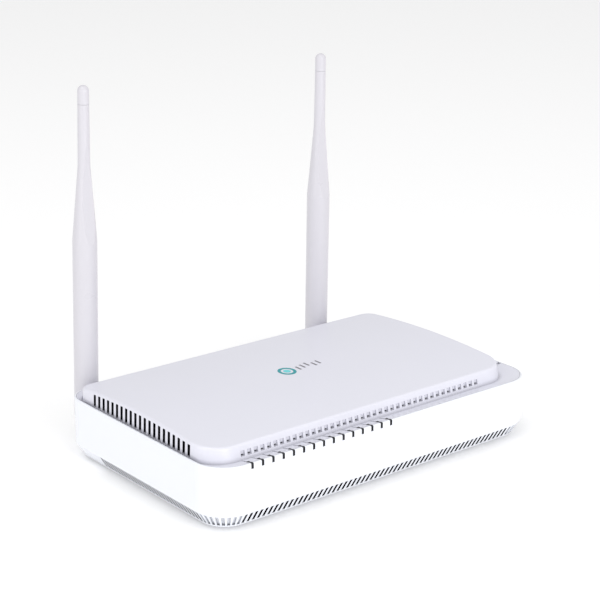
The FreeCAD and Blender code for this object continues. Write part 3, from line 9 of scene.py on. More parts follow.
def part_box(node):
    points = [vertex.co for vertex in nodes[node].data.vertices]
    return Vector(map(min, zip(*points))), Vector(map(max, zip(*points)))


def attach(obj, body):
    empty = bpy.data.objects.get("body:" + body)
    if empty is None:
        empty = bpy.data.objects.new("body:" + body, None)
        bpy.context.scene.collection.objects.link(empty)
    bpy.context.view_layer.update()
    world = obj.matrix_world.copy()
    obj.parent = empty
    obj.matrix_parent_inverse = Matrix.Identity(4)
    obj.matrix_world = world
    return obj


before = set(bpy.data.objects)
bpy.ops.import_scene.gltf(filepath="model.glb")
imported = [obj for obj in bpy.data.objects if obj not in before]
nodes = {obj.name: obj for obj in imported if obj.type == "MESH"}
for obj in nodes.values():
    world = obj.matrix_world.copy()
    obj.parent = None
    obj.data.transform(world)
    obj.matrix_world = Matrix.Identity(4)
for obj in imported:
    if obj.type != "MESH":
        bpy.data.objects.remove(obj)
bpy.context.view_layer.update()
jacks = {
    "lan": ["lan_jack_%d" % index for index in range(1, 5)],
    "phone": ["phone_jack_%d" % index for index in range(1, 3)],
}


class Wire:
    # a shader socket that can stand in a sum
    def __init__(self, finish, socket):
        self.finish = finish
        self.socket = socket

    def sum(self, operation, first, second):
        return self.finish.node("Math", {"operation": operation}, {0: first, 1: second})

    def __add__(self, other):
        return self.sum("ADD", self, other)

    def __radd__(self, other):
        return self.sum("ADD", other, self)

    def __sub__(self, other):
        return self.sum("SUBTRACT", self, other)

    def __rsub__(self, other):
        return self.sum("SUBTRACT", other, self)

    def __mul__(self, other):
        return self.sum("MULTIPLY", self, other)

    def __rmul__(self, other):
        return self.sum("MULTIPLY", other, self)

    def __gt__(self, other):
        return self.sum("GREATER_THAN", self, other)

    def __lt__(self, other):
        return self.sum("LESS_THAN", self, other)

    def above(self, other):
        return self.sum("MAXIMUM", self, other)

    def size(self):
        return self.sum("ABSOLUTE", self, 0)


class Finish:
    # a material with its Principled shader, and a short way to add nodes to it
    def __init__(self, name, color, roughness, **sockets):
        self.material = bpy.data.materials.new(name)
        self.material.use_nodes = True
        self.material.diffuse_color = (*color, 1)
        self.tree = self.material.node_tree
        self.shader = self.tree.nodes["Principled BSDF"]
        self.set("Base Color", (*color, 1))
        self.set("Roughness", roughness)
        for socket, value in sockets.items():
            self.set(socket.replace("_", " "), value)

    def set(self, socket, value):
        self.plug(self.shader.inputs[socket], value)

    def plug(self, target, value):
        if isinstance(value, Wire):
            self.tree.links.new(value.socket, target)
        else:
            target.default_value = value

    def node(self, kind, settings=None, sockets=None, output=0):
        made = self.tree.nodes.new("ShaderNode" + kind)
        for key, value in (settings or {}).items():
            setattr(made, key, value)
        for key, value in (sockets or {}).items():
            self.plug(made.inputs[key], value)
        return Wire(self, made.outputs[output])

    def place(self, scale=(1, 1, 1), turn=(0, 0, 0)):
        spot = self.node("TexCoord", output="Object")
        return self.node("Mapping", None, {"Vector": spot, "Scale": scale, "Rotation": turn})

    def noise(self, scale, detail=2, roughness=0.5, vector=None):
        sockets = {"Scale": scale, "Detail": detail, "Roughness": roughness}
        return self.node("TexNoise", None, {"Vector": vector or self.place(), **sockets})

    def mix(self, factor, first, second):
        first, second = [c if isinstance(c, Wire) else (*c, 1) for c in (first, second)]
        sockets = {0: factor, 6: first, 7: second}  # a colour mix has its colours at 6 and 7
        return self.node("Mix", {"data_type": "RGBA"}, sockets, 2)

    def bump(self, height, distance, strength):
        return self.node("Bump", None, {"Height": height, "Distance": distance, "Strength": strength})


plainPlastic = {
    "coat": 0,
    "coatRoughness": 0.08,
    "drift": 0.02,
    "driftScale": 18,
    "rub": 0.06,
    "rubScale": 60,
    "grain": 0.5,
    "grainScale": 2600,
    "grainHeight": 0.000012,
}


def toned(color, amount):
    return [channel * amount for channel in color]


def moulded(name, look, inside=None):
    # moulded plastic: slow tint and gloss drift, fine tool texture, painted shade darkening the creases, and
    # painted near-black shade on the inner faces that show through openings
    look = {**plainPlastic, **look}
    finish = Finish(name, look["color"], look["roughness"], IOR=1.5)
    finish.set("Coat Weight", look["coat"])
    finish.set("Coat Roughness", look["coatRoughness"])
    drift = finish.noise(look["driftScale"], detail=3)
    color = finish.mix(drift, toned(look["color"], 1 - look["drift"]), look["color"])
    # painted shade: the colour darkens where ambient occlusion finds a crease or recess
    if "paintedCreaseShade" in look:
        clear = finish.node("AmbientOcclusion", {"samples": 6}, {"Distance": look["paintedShadeReach"]}, "AO")
        color = finish.mix(clear, toned(look["color"], look["paintedCreaseShade"]), color)
    # painted shade: faces seen only through the openings turn near black
    if inside:
        color = finish.mix(inside(finish), color, look["inside"])
    finish.set("Base Color", color)
    rub = finish.noise(look["rubScale"], detail=4, roughness=0.6)
    finish.set("Roughness", look["roughness"] + (rub - 0.5) * look["rub"])
    grain = finish.noise(look["grainScale"])
    finish.set("Normal", finish.bump(grain, look["grainHeight"], look["grain"]))
    return finish.material


shell = {
    "wall": 0.0017,
    "roof": 0.0016,
    "chamferIn": 0.0045,
    "chamferTop": 0.0085,
    "chamferFoot": 0.0015,
    "trayRadius": 0.017,
    "slotReach": 0.0075,
    "slotFoot": 0.0007,
    "slotTop": 0.0066,
    "lip": 0.0012,
    "brim": 0.003,
    "notchDepth": 0.0033,
    "notchReach": 0.09,
    "ventReach": 0.088,
    "ventFront": -0.05,
    "ventRear": 0.038,
    "ventDepth": 0.0088,
    "plateau": (-0.0983, 0.0916, -0.0605, 0.0484),
    "plateauRadius": 0.013,
    "crownRadius": 0.5,
    "crownMiddle": -0.00567,
}
squarely = {"slot": 0.3, "notch": 0.7, "vent": 0.9}  # limits for how squarely a side wall looks along an axis


def axes(finish):
    spot = finish.node("TexCoord", output="Object")
    return [finish.node("SeparateXYZ", None, {"Vector": spot}, axis) for axis in range(3)]


def facing(finish, axis):
    # how squarely a face looks along one axis, either way
    normal = finish.node("NewGeometry", output="True Normal")
    return finish.node("SeparateXYZ", None, {"Vector": normal}, axis).size()


def withinRounded(x, y, outline, radius, inset):
    # true inside a rectangle with round corners, drawn in by the inset
    left, right, front, rear = outline
    pastX = ((x - (left + right) / 2).size() - ((right - left) / 2 - radius)).above(0)
    pastY = ((y - (front + rear) / 2).size() - ((rear - front) / 2 - radius)).above(0)
    reach = radius - inset
    return pastX * pastX + pastY * pastY < reach * reach


def notchSides(finish, x, y, edge):
    # true on the side walls of the notches in a front edge, which get painted shade
    return (facing(finish, 0) > squarely["notch"]) * (x.size() < shell["notchReach"]) * (y < edge)


def crownFall(y):
    # how far the arched top lies under its ridge; y is a number or a wire
    fromRidge = y - shell["crownMiddle"]
    return fromRidge * fromRidge * (0.5 / shell["crownRadius"])


def insideTray(finish):
    # true on the faces that only show through the slots; these get painted near-black shade
    x, y, z = axes(finish)
    low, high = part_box("lower_housing")
    outline = (low.x, high.x, low.y, high.y)
    radius = shell["trayRadius"]
    slope = shell["chamferIn"] / (shell["chamferTop"] - shell["chamferFoot"])
    inset = shell["wall"] + (shell["chamferTop"] - z).above(0) * slope
    within = withinRounded(x, y, outline, radius, inset) * (z > low.z + shell["wall"])
    edge = 1 - withinRounded(x, y, outline, radius, shell["slotReach"])
    besideCorner = ((x.size() < high.x - radius) + (y > low.y + radius)) > 0
    slotHeight = (z > low.z + shell["slotFoot"]) * (z < low.z + shell["slotTop"])
    slotSides = slotHeight * (facing(finish, 2) < squarely["slot"]) * edge * besideCorner
    notches = notchSides(finish, x, y, low.y + shell["lip"]) * (z > high.z - shell["notchDepth"])
    return (within + slotSides + notches) > 0


def insideCover(finish):
    # true under the crown, on the faces that only show through the vents; these get painted near-black shade
    x, y, z = axes(finish)
    low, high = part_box("top_cover")
    under = z < high.z - shell["roof"] - crownFall(y)
    within = withinRounded(x, y, shell["plateau"], shell["plateauRadius"], 0) * under
    ventPart = under * (x.size() > shell["ventReach"]) * (y > shell["ventFront"]) * (y < shell["ventRear"])
    ventSides = ventPart * (facing(finish, 1) > squarely["vent"]) * (z > high.z - shell["ventDepth"])
    notches = notchSides(finish, x, y, low.y + shell["brim"])
    return (within + ventSides + notches) > 0


def makeHousingGloss():
    look = {
        "color": (0.885, 0.905, 0.965),
        "roughness": 0.2,
        "coat": 0.4,
        "grain": 0.12,
        "rub": 0.05,
        # painted shade in the creases: how dark, and how far the darkening reaches
        "paintedCreaseShade": 0.45,
        "paintedShadeReach": 0.0016,
        # near-black painted shade for the inner faces seen through the slots
        "inside": (0.012, 0.012, 0.015),
    }
    return moulded("housing_gloss", look, insideTray)


def makeCoverSatin():
    look = {
        "color": (0.775, 0.775, 0.855),
        "roughness": 0.3,
        "coat": 0.1,
        "coatRoughness": 0.25,
        "grain": 0.3,
        # painted shade in the creases: how dark, and how far the darkening reaches
        "paintedCreaseShade": 0.5,
        "paintedShadeReach": 0.0022,
        # near-black painted shade for the inner faces seen through the vents
        "inside": (0.006, 0.006, 0.009),
    }
    return moulded("cover_satin", look, insideCover)


def makeAntennaSatin():
    look = {"color": (0.67, 0.655, 0.7), "roughness": 0.28, "coat": 0.2}
    return moulded("antenna_satin", {**look, "grain": 0.15, "rub": 0.03, "driftScale": 40})


def makePanelMatt():
    look = {"color": (0.72, 0.72, 0.76), "roughness": 0.55, "grain": 0.9, "grainScale": 1900}
    return moulded("panel_matt", look)


def makeButtonSatin():
    look = {"color": (0.78, 0.775, 0.83), "roughness": 0.32, "grain": 0.3}
    return moulded("button_satin", look)


def makeJackBlack():
    look = {"color": (0.028, 0.028, 0.032), "roughness": 0.42, "grain": 0.6, "drift": 0.2}
    return moulded("jack_black", look)


def makeOpticalGreen():
    look = {"color": (0.03, 0.30, 0.12), "roughness": 0.34, "grain": 0.4, "drift": 0.08}
    return moulded("optical_green", look)


def makeUsbBlue():
    look = {"color": (0.02, 0.09, 0.42), "roughness": 0.38, "grain": 0.4, "drift": 0.1}
    return moulded("usb_blue", look)


def makeLampBody():
    look = {"color": (0.86, 0.82, 0.55), "roughness": 0.25, "grain": 0.2, "drift": 0.05}
    return moulded("lamp_body", look)


def makeFootRubber():
    look = {"color": (0.09, 0.09, 0.1), "roughness": 0.82, "grain": 1, "grainScale": 1500, "drift": 0.3}
    return moulded("foot_rubber", look)


def makeChipEpoxy():
    look = {"color": (0.03, 0.03, 0.034), "roughness": 0.6, "grain": 1, "grainScale": 5200, "drift": 0.25}
    return moulded("chip_epoxy", look)


def makeFerrite():
    look = {"color": (0.075, 0.07, 0.068), "roughness": 0.68, "grain": 1, "grainScale": 3800, "drift": 0.3}
    return moulded("ferrite", look)


def makeSmokedWindow():
    look = {"color": (0.008, 0.008, 0.012), "roughness": 0.38, "grain": 0.2, "drift": 0.2}
    return moulded("smoked_window", look)


plainMetal = {"patchScale": 160, "patchRub": 0.1, "dull": 0.82, "grain": 0.3, "grainHeight": 0.00002}


def metal(name, look, stretch):
    # plated or drawn metal: streaks along one direction and dull patches
    look = {**plainMetal, **look}
    finish = Finish(name, look["color"], look["roughness"], Metallic=1)
    streak = finish.noise(look["streakScale"], detail=4, roughness=0.6, vector=finish.place(stretch))
    patch = finish.noise(look["patchScale"], detail=3)
    finish.set("Base Color", finish.mix(patch, toned(look["color"], look["dull"]), look["color"]))
    drawn = look["roughness"] + (streak - 0.5) * look["streak"]
    finish.set("Roughness", drawn + (patch - 0.5) * look["patchRub"])
    finish.set("Normal", finish.bump(streak, look["grainHeight"], look["grain"]))
    return finish.material


def makeScrewSteel():
    look = {"color": (0.6, 0.6, 0.63), "roughness": 0.34, "streak": 0.2, "streakScale": 900}
    return metal("screw_steel", look, (1, 1, 4))


def makeSinkAluminium():
    look = {"color": (0.72, 0.73, 0.75), "roughness": 0.42, "streak": 0.3, "streakScale": 700}
    return metal("sink_aluminium", look, (1, 0.03, 1))


def makeShieldTin():
    look = {"color": (0.71, 0.7, 0.69), "roughness": 0.3, "streak": 0.2, "streakScale": 420}
    return metal("shield_plating", look, (0.1, 1, 1))


def makeContactGold():
    look = {"color": (0.86, 0.62, 0.27), "roughness": 0.24, "streak": 0.15, "streakScale": 900}
    return metal("contact_gold", look, (1, 0.1, 1))


def makeCapacitorSleeve():
    look = {"color": (0.32, 0.33, 0.4), "roughness": 0.34, "streak": 0.1, "streakScale": 300}
    return metal("capacitor_sleeve", look, (1, 1, 0.1))


def makeBoardGreen():
    # solder mask with copper runs under it and small plated holes
    look = {
        "mask": (0.008, 0.085, 0.035),
        "run": (0.02, 0.17, 0.07),
        "hole": (0.55, 0.5, 0.32),
        "roughness": 0.3,
        "coat": 0.3,
        "runScale": 150,
        "slantScale": 90,
        "zoneScale": 45,
        "zoneLimit": 0.52,
        "holeScale": 330,
        "holeRadius": 0.13,
        "holeShine": 0.8,
        "holeRise": 0.5,
        "relief": 0.00003,
    }
    finish = Finish("board_green", look["mask"], look["roughness"], Coat_Weight=look["coat"])
    flat = finish.place((1, 1, 0))
    turned = finish.place((1, 1, 0), (0, 0, math.pi / 4))
    brick = {"offset": 0.37, "squash": 0.6}
    sockets = {"Mortar Size": 0.06, "Brick Width": 1.6, "Row Height": 0.22}
    runs = finish.node("TexBrick", brick, {**sockets, "Vector": flat, "Scale": look["runScale"]}, 1)
    slants = finish.node("TexBrick", brick, {**sockets, "Vector": turned, "Scale": look["slantScale"]}, 1)
    zone = finish.noise(look["zoneScale"], detail=1, vector=flat) > look["zoneLimit"]
    copper = runs * zone + slants * (1 - zone)
    dots = {"Vector": flat, "Scale": look["holeScale"], "Randomness": 0.85}
    holes = finish.node("TexVoronoi", None, dots) < look["holeRadius"]
    color = finish.mix(copper, look["mask"], look["run"])
    finish.set("Base Color", finish.mix(holes, color, look["hole"]))
    finish.set("Metallic", holes * look["holeShine"])
    finish.set("Normal", finish.bump(copper + holes * look["holeRise"], look["relief"], 0.6))
    return finish.material


finishOf = {
    makeHousingGloss: ["lower_housing"],
    makeCoverSatin: ["top_cover"],
    makeAntennaSatin: [
        side + piece
        for side in ("left_", "right_")
        for piece in ("antenna_sleeve", "antenna_tip", "antenna_elbow", "elbow_clip", "antenna_bushing")
    ],
    makePanelMatt: ["port_panel"],
    makeButtonSatin: ["power_button", "wlan_button", "wps_button", "reset_button"],
    makeJackBlack: ["power_jack", "power_switch", "side_switches", *jacks["lan"], *jacks["phone"]],
    makeOpticalGreen: ["optical_port"],
    makeUsbBlue: ["usb_tongue"],
    makeLampBody: ["status_leds"],
    makeFootRubber: ["rubber_feet"],
    makeChipEpoxy: ["main_chip", "memory_chip", "lan_transformers"],
    makeFerrite: ["power_inductors"],
    makeSmokedWindow: ["light_pipe"],
    makeScrewSteel: ["case_screws", "board_screws", "left_hinge_pin", "right_hinge_pin"],
    makeSinkAluminium: ["heat_sink"],
    makeShieldTin: ["rf_shield", "usb_port", "optical_transceiver"],
    makeContactGold: ["power_jack_pin", "left_antenna_radiator", "right_antenna_radiator"],
    makeCapacitorSleeve: ["filter_capacitors"],
    makeBoardGreen: ["main_board"],
}
finishes = {}
for makeFinish, names in finishOf.items():
    material = makeFinish()
    finishes[material.name] = material
    for name in names:
        piece = nodes[name]
        if not piece.material_slots:
            piece.data.materials.append(material)
        for slot in piece.material_slots:
            slot.material = material
print("finishes on", sum(len(names) for names in finishOf.values()), "nodes of", len(nodes))


def makeInk(name, color, roughness=0.45):
    # printed ink: a thin, slightly uneven film
    look = {"color": color, "roughness": roughness, "grain": 0.5, "grainScale": 3200, "drift": 0.12}
    return moulded(name, look)


def makeLens(name, color):
    # small clear lamp, dark until it is lit
    look = {"color": color, "roughness": 0.12, "coat": 0.6, "grain": 0.1, "drift": 0.1}
    return moulded(name, look)


def linked(name, data):
    made = bpy.data.objects.new(name, data)
    bpy.context.scene.collection.objects.link(made)
    return made


def asMesh(name, form):
    mesh = bpy.data.meshes.new(name)
    form.to_mesh(mesh)
    form.free()
    return mesh


def asPiece(name, form, material, body="housing"):
    mesh = asMesh(name, form)
    mesh.materials.append(material)
    piece = linked(name, mesh)
    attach(piece, body)


def addBlock(form, low, high, bevel=0):
    low, high = Vector(low), Vector(high)
    scale = Matrix.Diagonal((*(high - low), 1))
    made = bmesh.ops.create_cube(form, size=1, matrix=Matrix.Translation((low + high) / 2) @ scale)
    if bevel:
        edges = list({edge for corner in made["verts"] for edge in corner.link_edges})
        bmesh.ops.bevel(form, geom=edges, offset=bevel, segments=2, affect="EDGES", profile=0.5)
    return form


def addFlat(form, spot, low, high):
    # a flat rectangle that faces outwards; spot turns its plane's coordinates into a place
    corners = ((low[0], low[1]), (high[0], low[1]), (high[0], high[1]), (low[0], high[1]))
    form.faces.new([form.verts.new(spot(*corner)) for corner in corners])


def addStrip(form, path, width, thickness):
    # a flat spring along a path in the upright plane, closed at both ends
    corners = ((-1, -1), (1, -1), (1, 1), (-1, 1))
    rings = []
    for index, (y, z) in enumerate(path):
        before, after = path[max(index - 1, 0)], path[min(index + 1, len(path) - 1)]
        along = Vector((after[0] - before[0], after[1] - before[1])).normalized()
        side = Vector((-along.y, along.x)) * thickness / 2
        ring = [form.verts.new((a * width / 2, y + b * side.x, z + b * side.y)) for a, b in corners]
        rings.append(ring)
    for first, second in zip(rings, rings[1:]):
        for index in range(4):
            following = (index + 1) % 4
            form.faces.new((first[index], first[following], second[following], second[index]))
    form.faces.new(rings[0])
    form.faces.new(rings[-1])
    bmesh.ops.recalc_face_normals(form, faces=form.faces)
    return form


def addArc(form, spot, inner, outer, start, end, steps, weld=1e-7):
    # a flat ring or part of one; the weld closes a full turn, and the middle of a disc
    turn = (end - start) / steps
    pairs = []
    for index in range(steps + 1):
        angle = start + turn * index
        places = [spot(reach * math.cos(angle), reach * math.sin(angle)) for reach in (inner, outer)]
        pairs.append([form.verts.new(place) for place in places])
    for (a, b), (c, d) in zip(pairs, pairs[1:]):
        form.faces.new((a, b, d, c))
    bmesh.ops.remove_doubles(form, verts=form.verts, dist=weld)
    return form


def repeatTree():
    # a row of copies of one piece, set at every point of the object that carries the tree
    tree = bpy.data.node_groups.new("rows_of_copies", "GeometryNodeTree")
    sockets = {
        "Starts": "Geometry",
        "Piece": "Object",
        "Count": "Int",
        "Step": "Vector",
        "Finish": "Material",
    }
    for name, kind in sockets.items():
        tree.interface.new_socket(name, in_out="INPUT", socket_type="NodeSocket" + kind)
    tree.interface.new_socket("Copies", in_out="OUTPUT", socket_type="NodeSocketGeometry")
    kinds = {
        "start": "NodeGroupInput",
        "line": "GeometryNodeMeshLine",
        "piece": "GeometryNodeObjectInfo",
        "row": "GeometryNodeInstanceOnPoints",
        "rows": "GeometryNodeInstanceOnPoints",
        "real": "GeometryNodeRealizeInstances",
        "paint": "GeometryNodeSetMaterial",
        "end": "NodeGroupOutput",
    }
    made = {name: tree.nodes.new(kind) for name, kind in kinds.items()}
    links = [
        ("start", "Count", "line", "Count"),
        ("start", "Step", "line", "Offset"),
        ("start", "Piece", "piece", "Object"),
        ("line", "Mesh", "row", "Points"),
        ("piece", "Geometry", "row", "Instance"),
        ("start", "Starts", "rows", "Points"),
        ("row", "Instances", "rows", "Instance"),
        ("rows", "Instances", "real", "Geometry"),
        ("real", "Geometry", "paint", "Geometry"),
        ("start", "Finish", "paint", "Material"),
        ("paint", "Geometry", "end", "Copies"),
    ]
    for source, output, target, socket in links:
        tree.links.new(made[source].outputs[output], made[target].inputs[socket])
    return tree


rows = repeatTree()


def addRows(name, template, starts, material, count=1, step=(0, 0, 0)):
    # from every start a row of copies of the template, all in one mesh
    sample = bpy.data.objects.new(name + "_template", asMesh(name + "_template", template))
    points = bpy.data.meshes.new(name + "_starts")
    points.from_pydata(starts, [], [])
    carrier = linked(name + "_starts", points)
    modifier = carrier.modifiers.new("rows", "NODES")
    modifier.node_group = rows
    values = {"Piece": sample, "Count": count, "Step": step, "Finish": material}
    for item in rows.interface.items_tree:
        if item.name in values:
            modifier[item.identifier] = values[item.name]
    carrier.update_tag()
    graph = bpy.context.evaluated_depsgraph_get()
    mesh = bpy.data.meshes.new_from_object(carrier.evaluated_get(graph), depsgraph=graph)
    carrier.modifiers.remove(modifier)
    bpy.data.objects.remove(carrier)
    bpy.data.objects.remove(sample)
    piece = linked(name, mesh)
    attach(piece, "housing")


def middleOf(low, high, axis=0):
    return (low[axis] + high[axis]) / 2


def firstOf(row, middle):
    # where a row of equal steps starts, so that it lies evenly about its middle
    return middle - (row["count"] - 1) * row["pitch"] / 2


def makeJackSprings():
    # eight gold springs in each network socket and four in each phone socket
    spring = {"width": 0.00042, "thickness": 0.00022, "mouth": 0.0003, "bend": (0.0012, 0.0006)}
    rowOf = {
        "lan": {"count": 8, "pitch": 0.00102, "roof": 0.0112, "in": 0.0028, "deep": 0.0112, "drop": 0.0031},
        "phone": {"count": 4, "pitch": 0.00127, "roof": 0.0103, "in": 0.0026, "deep": 0.0098, "drop": 0.0029},
    }
    for kind, row in rowOf.items():
        mouth = (-row["in"], -spring["mouth"])
        bend = (-row["in"] - spring["bend"][0], -spring["bend"][1])
        path = [mouth, bend, (-row["deep"], -row["drop"])]
        template = addStrip(bmesh.new(), path, spring["width"], spring["thickness"])
        starts = []
        for name in jacks[kind]:
            low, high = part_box(name)
            starts.append((firstOf(row, middleOf(low, high)), high.y, low.z + row["roof"]))
        step = (row["pitch"], 0, 0)
        gold = finishes["contact_gold"]
        addRows(kind + "_springs", template, starts, gold, row["count"], step)
    print("jack springs")


def makeUsbContacts():
    # flat gold contacts side by side on the tongue
    contacts = {"count": 4, "pitch": 0.0023, "width": 0.0011, "length": 0.0072}
    place = {"rise": 0.0033, "back": 0.0006, "film": 0.00006}
    half = contacts["width"] / 2
    low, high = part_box("usb_tongue")
    template = addBlock(
        bmesh.new(),
        (-half, -contacts["length"], -place["film"]),
        (half, 0, place["film"]),
    )
    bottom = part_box("usb_port")[0].z
    start = (firstOf(contacts, middleOf(low, high)), high.y - place["back"], bottom + place["rise"])
    step = (contacts["pitch"], 0, 0)
    gold = finishes["contact_gold"]
    addRows("usb_contacts", template, [start], gold, contacts["count"], step)
    print("usb contacts")


def makeJackLamps():
    # a green and an amber lamp in the upper corners of each network socket
    lamp = {"width": 0.0024, "height": 0.0011, "proud": 0.00012, "sink": 0.0006, "bevel": 0.00008}
    corner = {"side": 0.0021, "drop": 0.0011}
    colors = {"green": (0.02, 0.42, 0.12), "amber": (0.62, 0.3, 0.02)}
    for sign, (color, shade) in zip((-1, 1), colors.items()):
        template = addBlock(
            bmesh.new(),
            (-lamp["width"] / 2, -lamp["sink"], -lamp["height"] / 2),
            (lamp["width"] / 2, lamp["proud"], lamp["height"] / 2),
            lamp["bevel"],
        )
        starts = []
        for name in jacks["lan"]:
            low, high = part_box(name)
            aside = (high.x - low.x) / 2 - corner["side"]
            starts.append((middleOf(low, high) + sign * aside, high.y, high.z - corner["drop"]))
        addRows(color + "_jack_lamps", template, starts, makeLens(color + "_lens", shade))
    print("jack lamps")


def makePowerSymbol():
    # the usual broken ring with a stroke, printed on the button's cap
    symbol = {"radius": 0.0015, "line": 0.00028, "gap": 0.62, "foot": 0.0003, "stroke": 0.0017}
    film = 0.00004
    low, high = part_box("power_button")

    def onCap(across, up):
        return (middleOf(low, high) - across, high.y + film, middleOf(low, high, 2) + up)

    half = symbol["line"] / 2
    top = math.pi / 2
    ends = (top + symbol["gap"], top + 2 * math.pi - symbol["gap"])
    form = addArc(bmesh.new(), onCap, symbol["radius"] - half, symbol["radius"] + half, *ends, 40)
    addFlat(form, onCap, (-half, symbol["foot"]), (half, symbol["foot"] + symbol["stroke"]))
    asPiece("power_symbol", form, makeInk("symbol_ink", (0.22, 0.22, 0.25)), "power_button")
    print("power symbol")


def makeTopMark():
    # plain generic mark: a teal ring round a paler disc, then short grey strokes
    mark = {"place": (-0.0094, -0.0052), "ring": 0.0046, "line": 0.0016, "disc": 0.0019, "deeper": 1.15}
    strokes = {"first": 0.0068, "pitch": 0.0034, "line": 0.0011, "tall": 0.0042, "step": 0.0009, "count": 5}
    film = 0.00003
    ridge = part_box("top_cover")[1].z

    def onCrown(across, up):
        x = mark["place"][0] + across
        y = mark["place"][1] + up * mark["deeper"]
        return (x, y, ridge - crownFall(y) + film)

    ring = mark["ring"]
    form = addArc(bmesh.new(), onCrown, ring - mark["line"], ring, 0, 2 * math.pi, 48)
    asPiece("mark_ring", form, makeInk("teal_ink", (0.01, 0.33, 0.37)))
    form = addArc(bmesh.new(), onCrown, 0, mark["disc"], 0, 2 * math.pi, 24)
    asPiece("mark_disc", form, makeInk("pale_teal_ink", (0.16, 0.72, 0.76)))
    form = bmesh.new()
    for index in range(strokes["count"]):
        left = strokes["first"] + index * strokes["pitch"]
        foot = (index % 3) * strokes["step"] - strokes["tall"] / 2
        addFlat(form, onCrown, (left, foot), (left + strokes["line"], foot + strokes["tall"]))
    asPiece("mark_strokes", form, makeInk("grey_ink", (0.2, 0.19, 0.22)))
    print("top mark")


def makeRatingLabel():
    # a plain silver label under the tray, between the keyholes and the front feet
    label = {"width": 0.062, "depth": 0.026, "fromMiddle": -0.03, "film": 0.00008}
    border = {"inset": 0.0012, "line": 0.0003}
    low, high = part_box("lower_housing")
    middle = middleOf(low, high, 1) + label["fromMiddle"]
    bottom = low.z - label["film"]
    left, right = -label["width"] / 2, label["width"] / 2
    front, rear = middle - label["depth"] / 2, middle + label["depth"] / 2
    form = addBlock(bmesh.new(), (left, front, bottom), (right, rear, low.z + label["film"]))
    asPiece("rating_label", form, makeInk("label_film", (0.62, 0.62, 0.64), 0.3))
    left, right = left + border["inset"], right - border["inset"]
    front, rear = front + border["inset"], rear - border["inset"]
    line = border["line"]
    edges = (
        ((left, front), (right, front + line)),
        ((left, rear - line), (right, rear)),
        ((left, front), (left + line, rear)),
        ((right - line, front), (right, rear)),
    )
    form = bmesh.new()
    for start, end in edges:
        addBlock(form, (*start, bottom - label["film"] / 2), (*end, bottom))
    asPiece("label_frame", form, finishes["chip_epoxy"])
    print("rating label")


def makeMemoryLegs():
    # gull-wing legs along both long sides of the memory chip
    legs = {"count": 20, "pitch": 0.00055, "width": 0.00025, "reach": 0.0009, "thickness": 0.00012}
    knee = {"top": 0.4, "bottom": 0.55, "sole": 0.0001}
    low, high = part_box("memory_chip")
    rise = (high.z - low.z) / 2
    reach, sole = legs["reach"], knee["sole"]
    path = [(0, rise), (reach * knee["top"], rise), (reach * knee["bottom"], sole), (reach, sole)]
    for side, turn, x in (("left", math.pi / 2, low.x), ("right", -math.pi / 2, high.x)):
        template = addStrip(bmesh.new(), path, legs["width"], legs["thickness"])
        bmesh.ops.rotate(template, verts=template.verts, matrix=Matrix.Rotation(turn, 3, "Z"))
        start = (x, firstOf(legs, middleOf(low, high, 1)), low.z)
        step = (0, legs["pitch"], 0)
        tin = finishes["shield_plating"]
        addRows(side + "_memory_legs", template, [start], tin, legs["count"], step)
    print("memory legs")


shellNames = ("lower_housing", "top_cover", "light_pipe", "port_panel", "main_board")


def makeSmallParts():
    # small ceramic parts scattered over the free board, clear of every piece that stands on it
    small = {"length": 0.0016, "width": 0.0008, "height": 0.0006, "cap": 0.0003}
    scatter = {
        "seed": 11,
        "tries": 420,
        "left": 0.012,
        "right": 0.014,
        "front": 0.008,
        "rear": 0.026,
        "clear": 0.0016,
        "apart": (0.0024, 0.0018),
        "tanShare": 0.6,
        "above": 0.0001,
        "below": 0.004,
    }
    low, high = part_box("main_board")
    boxes = [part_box(name) for name in nodes if name not in shellNames]
    blocks = [
        (a, b) for a, b in boxes
        if a.z < high.z + scatter["below"] and b.z > high.z + scatter["above"]
    ]
    gap = scatter["clear"]
    draw = random.Random(scatter["seed"])
    spots = {"tan": [], "dark": []}
    taken = []
    for _ in range(scatter["tries"]):
        x = draw.uniform(low.x + scatter["left"], high.x - scatter["right"])
        y = draw.uniform(low.y + scatter["front"], high.y - scatter["rear"])
        free = all(x < a.x - gap or x > b.x + gap or y < a.y - gap or y > b.y + gap for a, b in blocks)
        apartX, apartY = scatter["apart"]
        apart = all(abs(x - u) > apartX or abs(y - v) > apartY for u, v in taken)
        if free and apart:
            taken.append((x, y))
            spots["tan" if draw.random() < scatter["tanShare"] else "dark"].append((x, y, high.z))
    half, wide, tall = small["length"] / 2, small["width"] / 2, small["height"]
    inner = half - small["cap"]
    bodies = {"tan": makeInk("ceramic_tan", (0.42, 0.27, 0.13), 0.5), "dark": finishes["chip_epoxy"]}
    for kind, starts in spots.items():
        template = addBlock(bmesh.new(), (-inner, -wide, 0), (inner, wide, tall))
        addRows(kind + "_parts", template, starts, bodies[kind])
        template = addBlock(bmesh.new(), (-half, -wide, 0), (-inner, wide, tall))
        addBlock(template, (inner, -wide, 0), (half, wide, tall))
        addRows(kind + "_part_ends", template, starts, finishes["shield_plating"])
    print("small parts", len(taken))


makeJackSprings()
makeUsbContacts()
makeJackLamps()
makePowerSymbol()
makeTopMark()
makeRatingLabel()
makeMemoryLegs()
makeSmallParts()


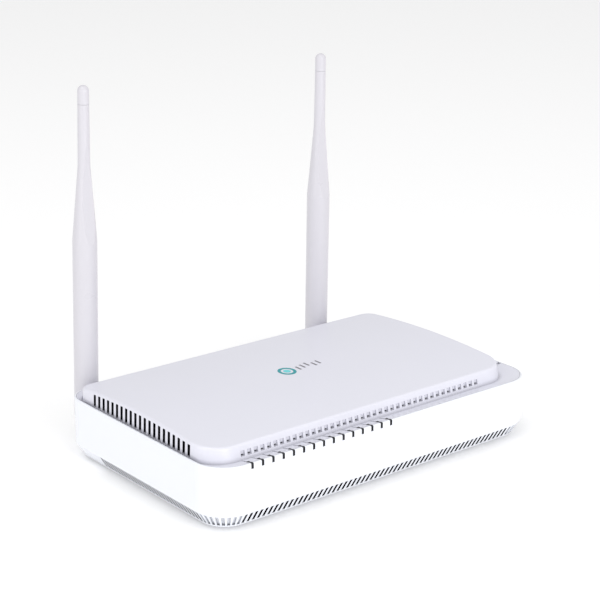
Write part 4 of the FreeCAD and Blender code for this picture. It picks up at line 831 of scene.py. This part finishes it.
studio = {
    "floorReach": 12,
    "floorColor": (0.97, 0.97, 0.972),
    "floorRoughness": 0.9,
    "floorGlow": 0.11,
    "sky": 0.75,
    "aim": (0, 0, 0.03),
    "lamps": {
        "front": {"place": (-0.1, -1.7, 0.45), "size": 1.1, "power": 9},
        "left": {"place": (-1.7, -0.3, 0.5), "size": 1.0, "power": 3},
        "top": {"place": (-0.5, -0.3, 1.7), "size": 1.2, "power": 6},
    },
}


def makeFloor():
    mesh = bpy.data.meshes.new("floor")
    reach = studio["floorReach"]
    corners = [(-reach, -reach, 0), (reach, -reach, 0), (reach, reach, 0), (-reach, reach, 0)]
    mesh.from_pydata(corners, [], [(0, 1, 2, 3)])
    paper = Finish("floor_paper", studio["floorColor"], studio["floorRoughness"])
    paper.set("Emission Color", (1, 1, 1, 1))
    paper.set("Emission Strength", studio["floorGlow"])
    mesh.materials.append(paper.material)
    floor = linked("floor", mesh)


def makeSky():
    world = bpy.data.worlds.new("studio")
    bpy.context.scene.world = world
    world.use_nodes = True
    backdrop = world.node_tree.nodes["Background"]
    backdrop.inputs["Color"].default_value = (1, 1, 1, 1)
    backdrop.inputs["Strength"].default_value = studio["sky"]


def makeCamera():
    view = {"place": (-0.50175, -0.62915, 0.3325), "turn": 38.75, "drop": 17.7, "lens": 100.44}
    data = bpy.data.cameras.new("camera")
    data.lens = view["lens"]
    data.sensor_width = 36
    data.clip_start = 0.05
    camera = linked("camera", data)
    camera.location = view["place"]
    camera.rotation_euler = (math.radians(90 - view["drop"]), 0, math.radians(-view["turn"]))
    bpy.context.scene.camera = camera


def makeLamp(name, lamp):
    light = bpy.data.lights.new(name, "AREA")
    light.shape = "DISK"
    light.size = lamp["size"]
    light.energy = lamp["power"]
    stand = linked(name, light)
    stand.location = lamp["place"]
    stand.rotation_mode = "QUATERNION"
    stand.rotation_quaternion = (Vector(studio["aim"]) - Vector(lamp["place"])).to_track_quat("-Z", "Y")


makeFloor()
makeSky()
makeCamera()
for name, lamp in studio["lamps"].items():
    makeLamp(name, lamp)
bpy.context.scene.view_settings.view_transform = "Standard"
print("studio with", len(studio["lamps"]), "lamps")
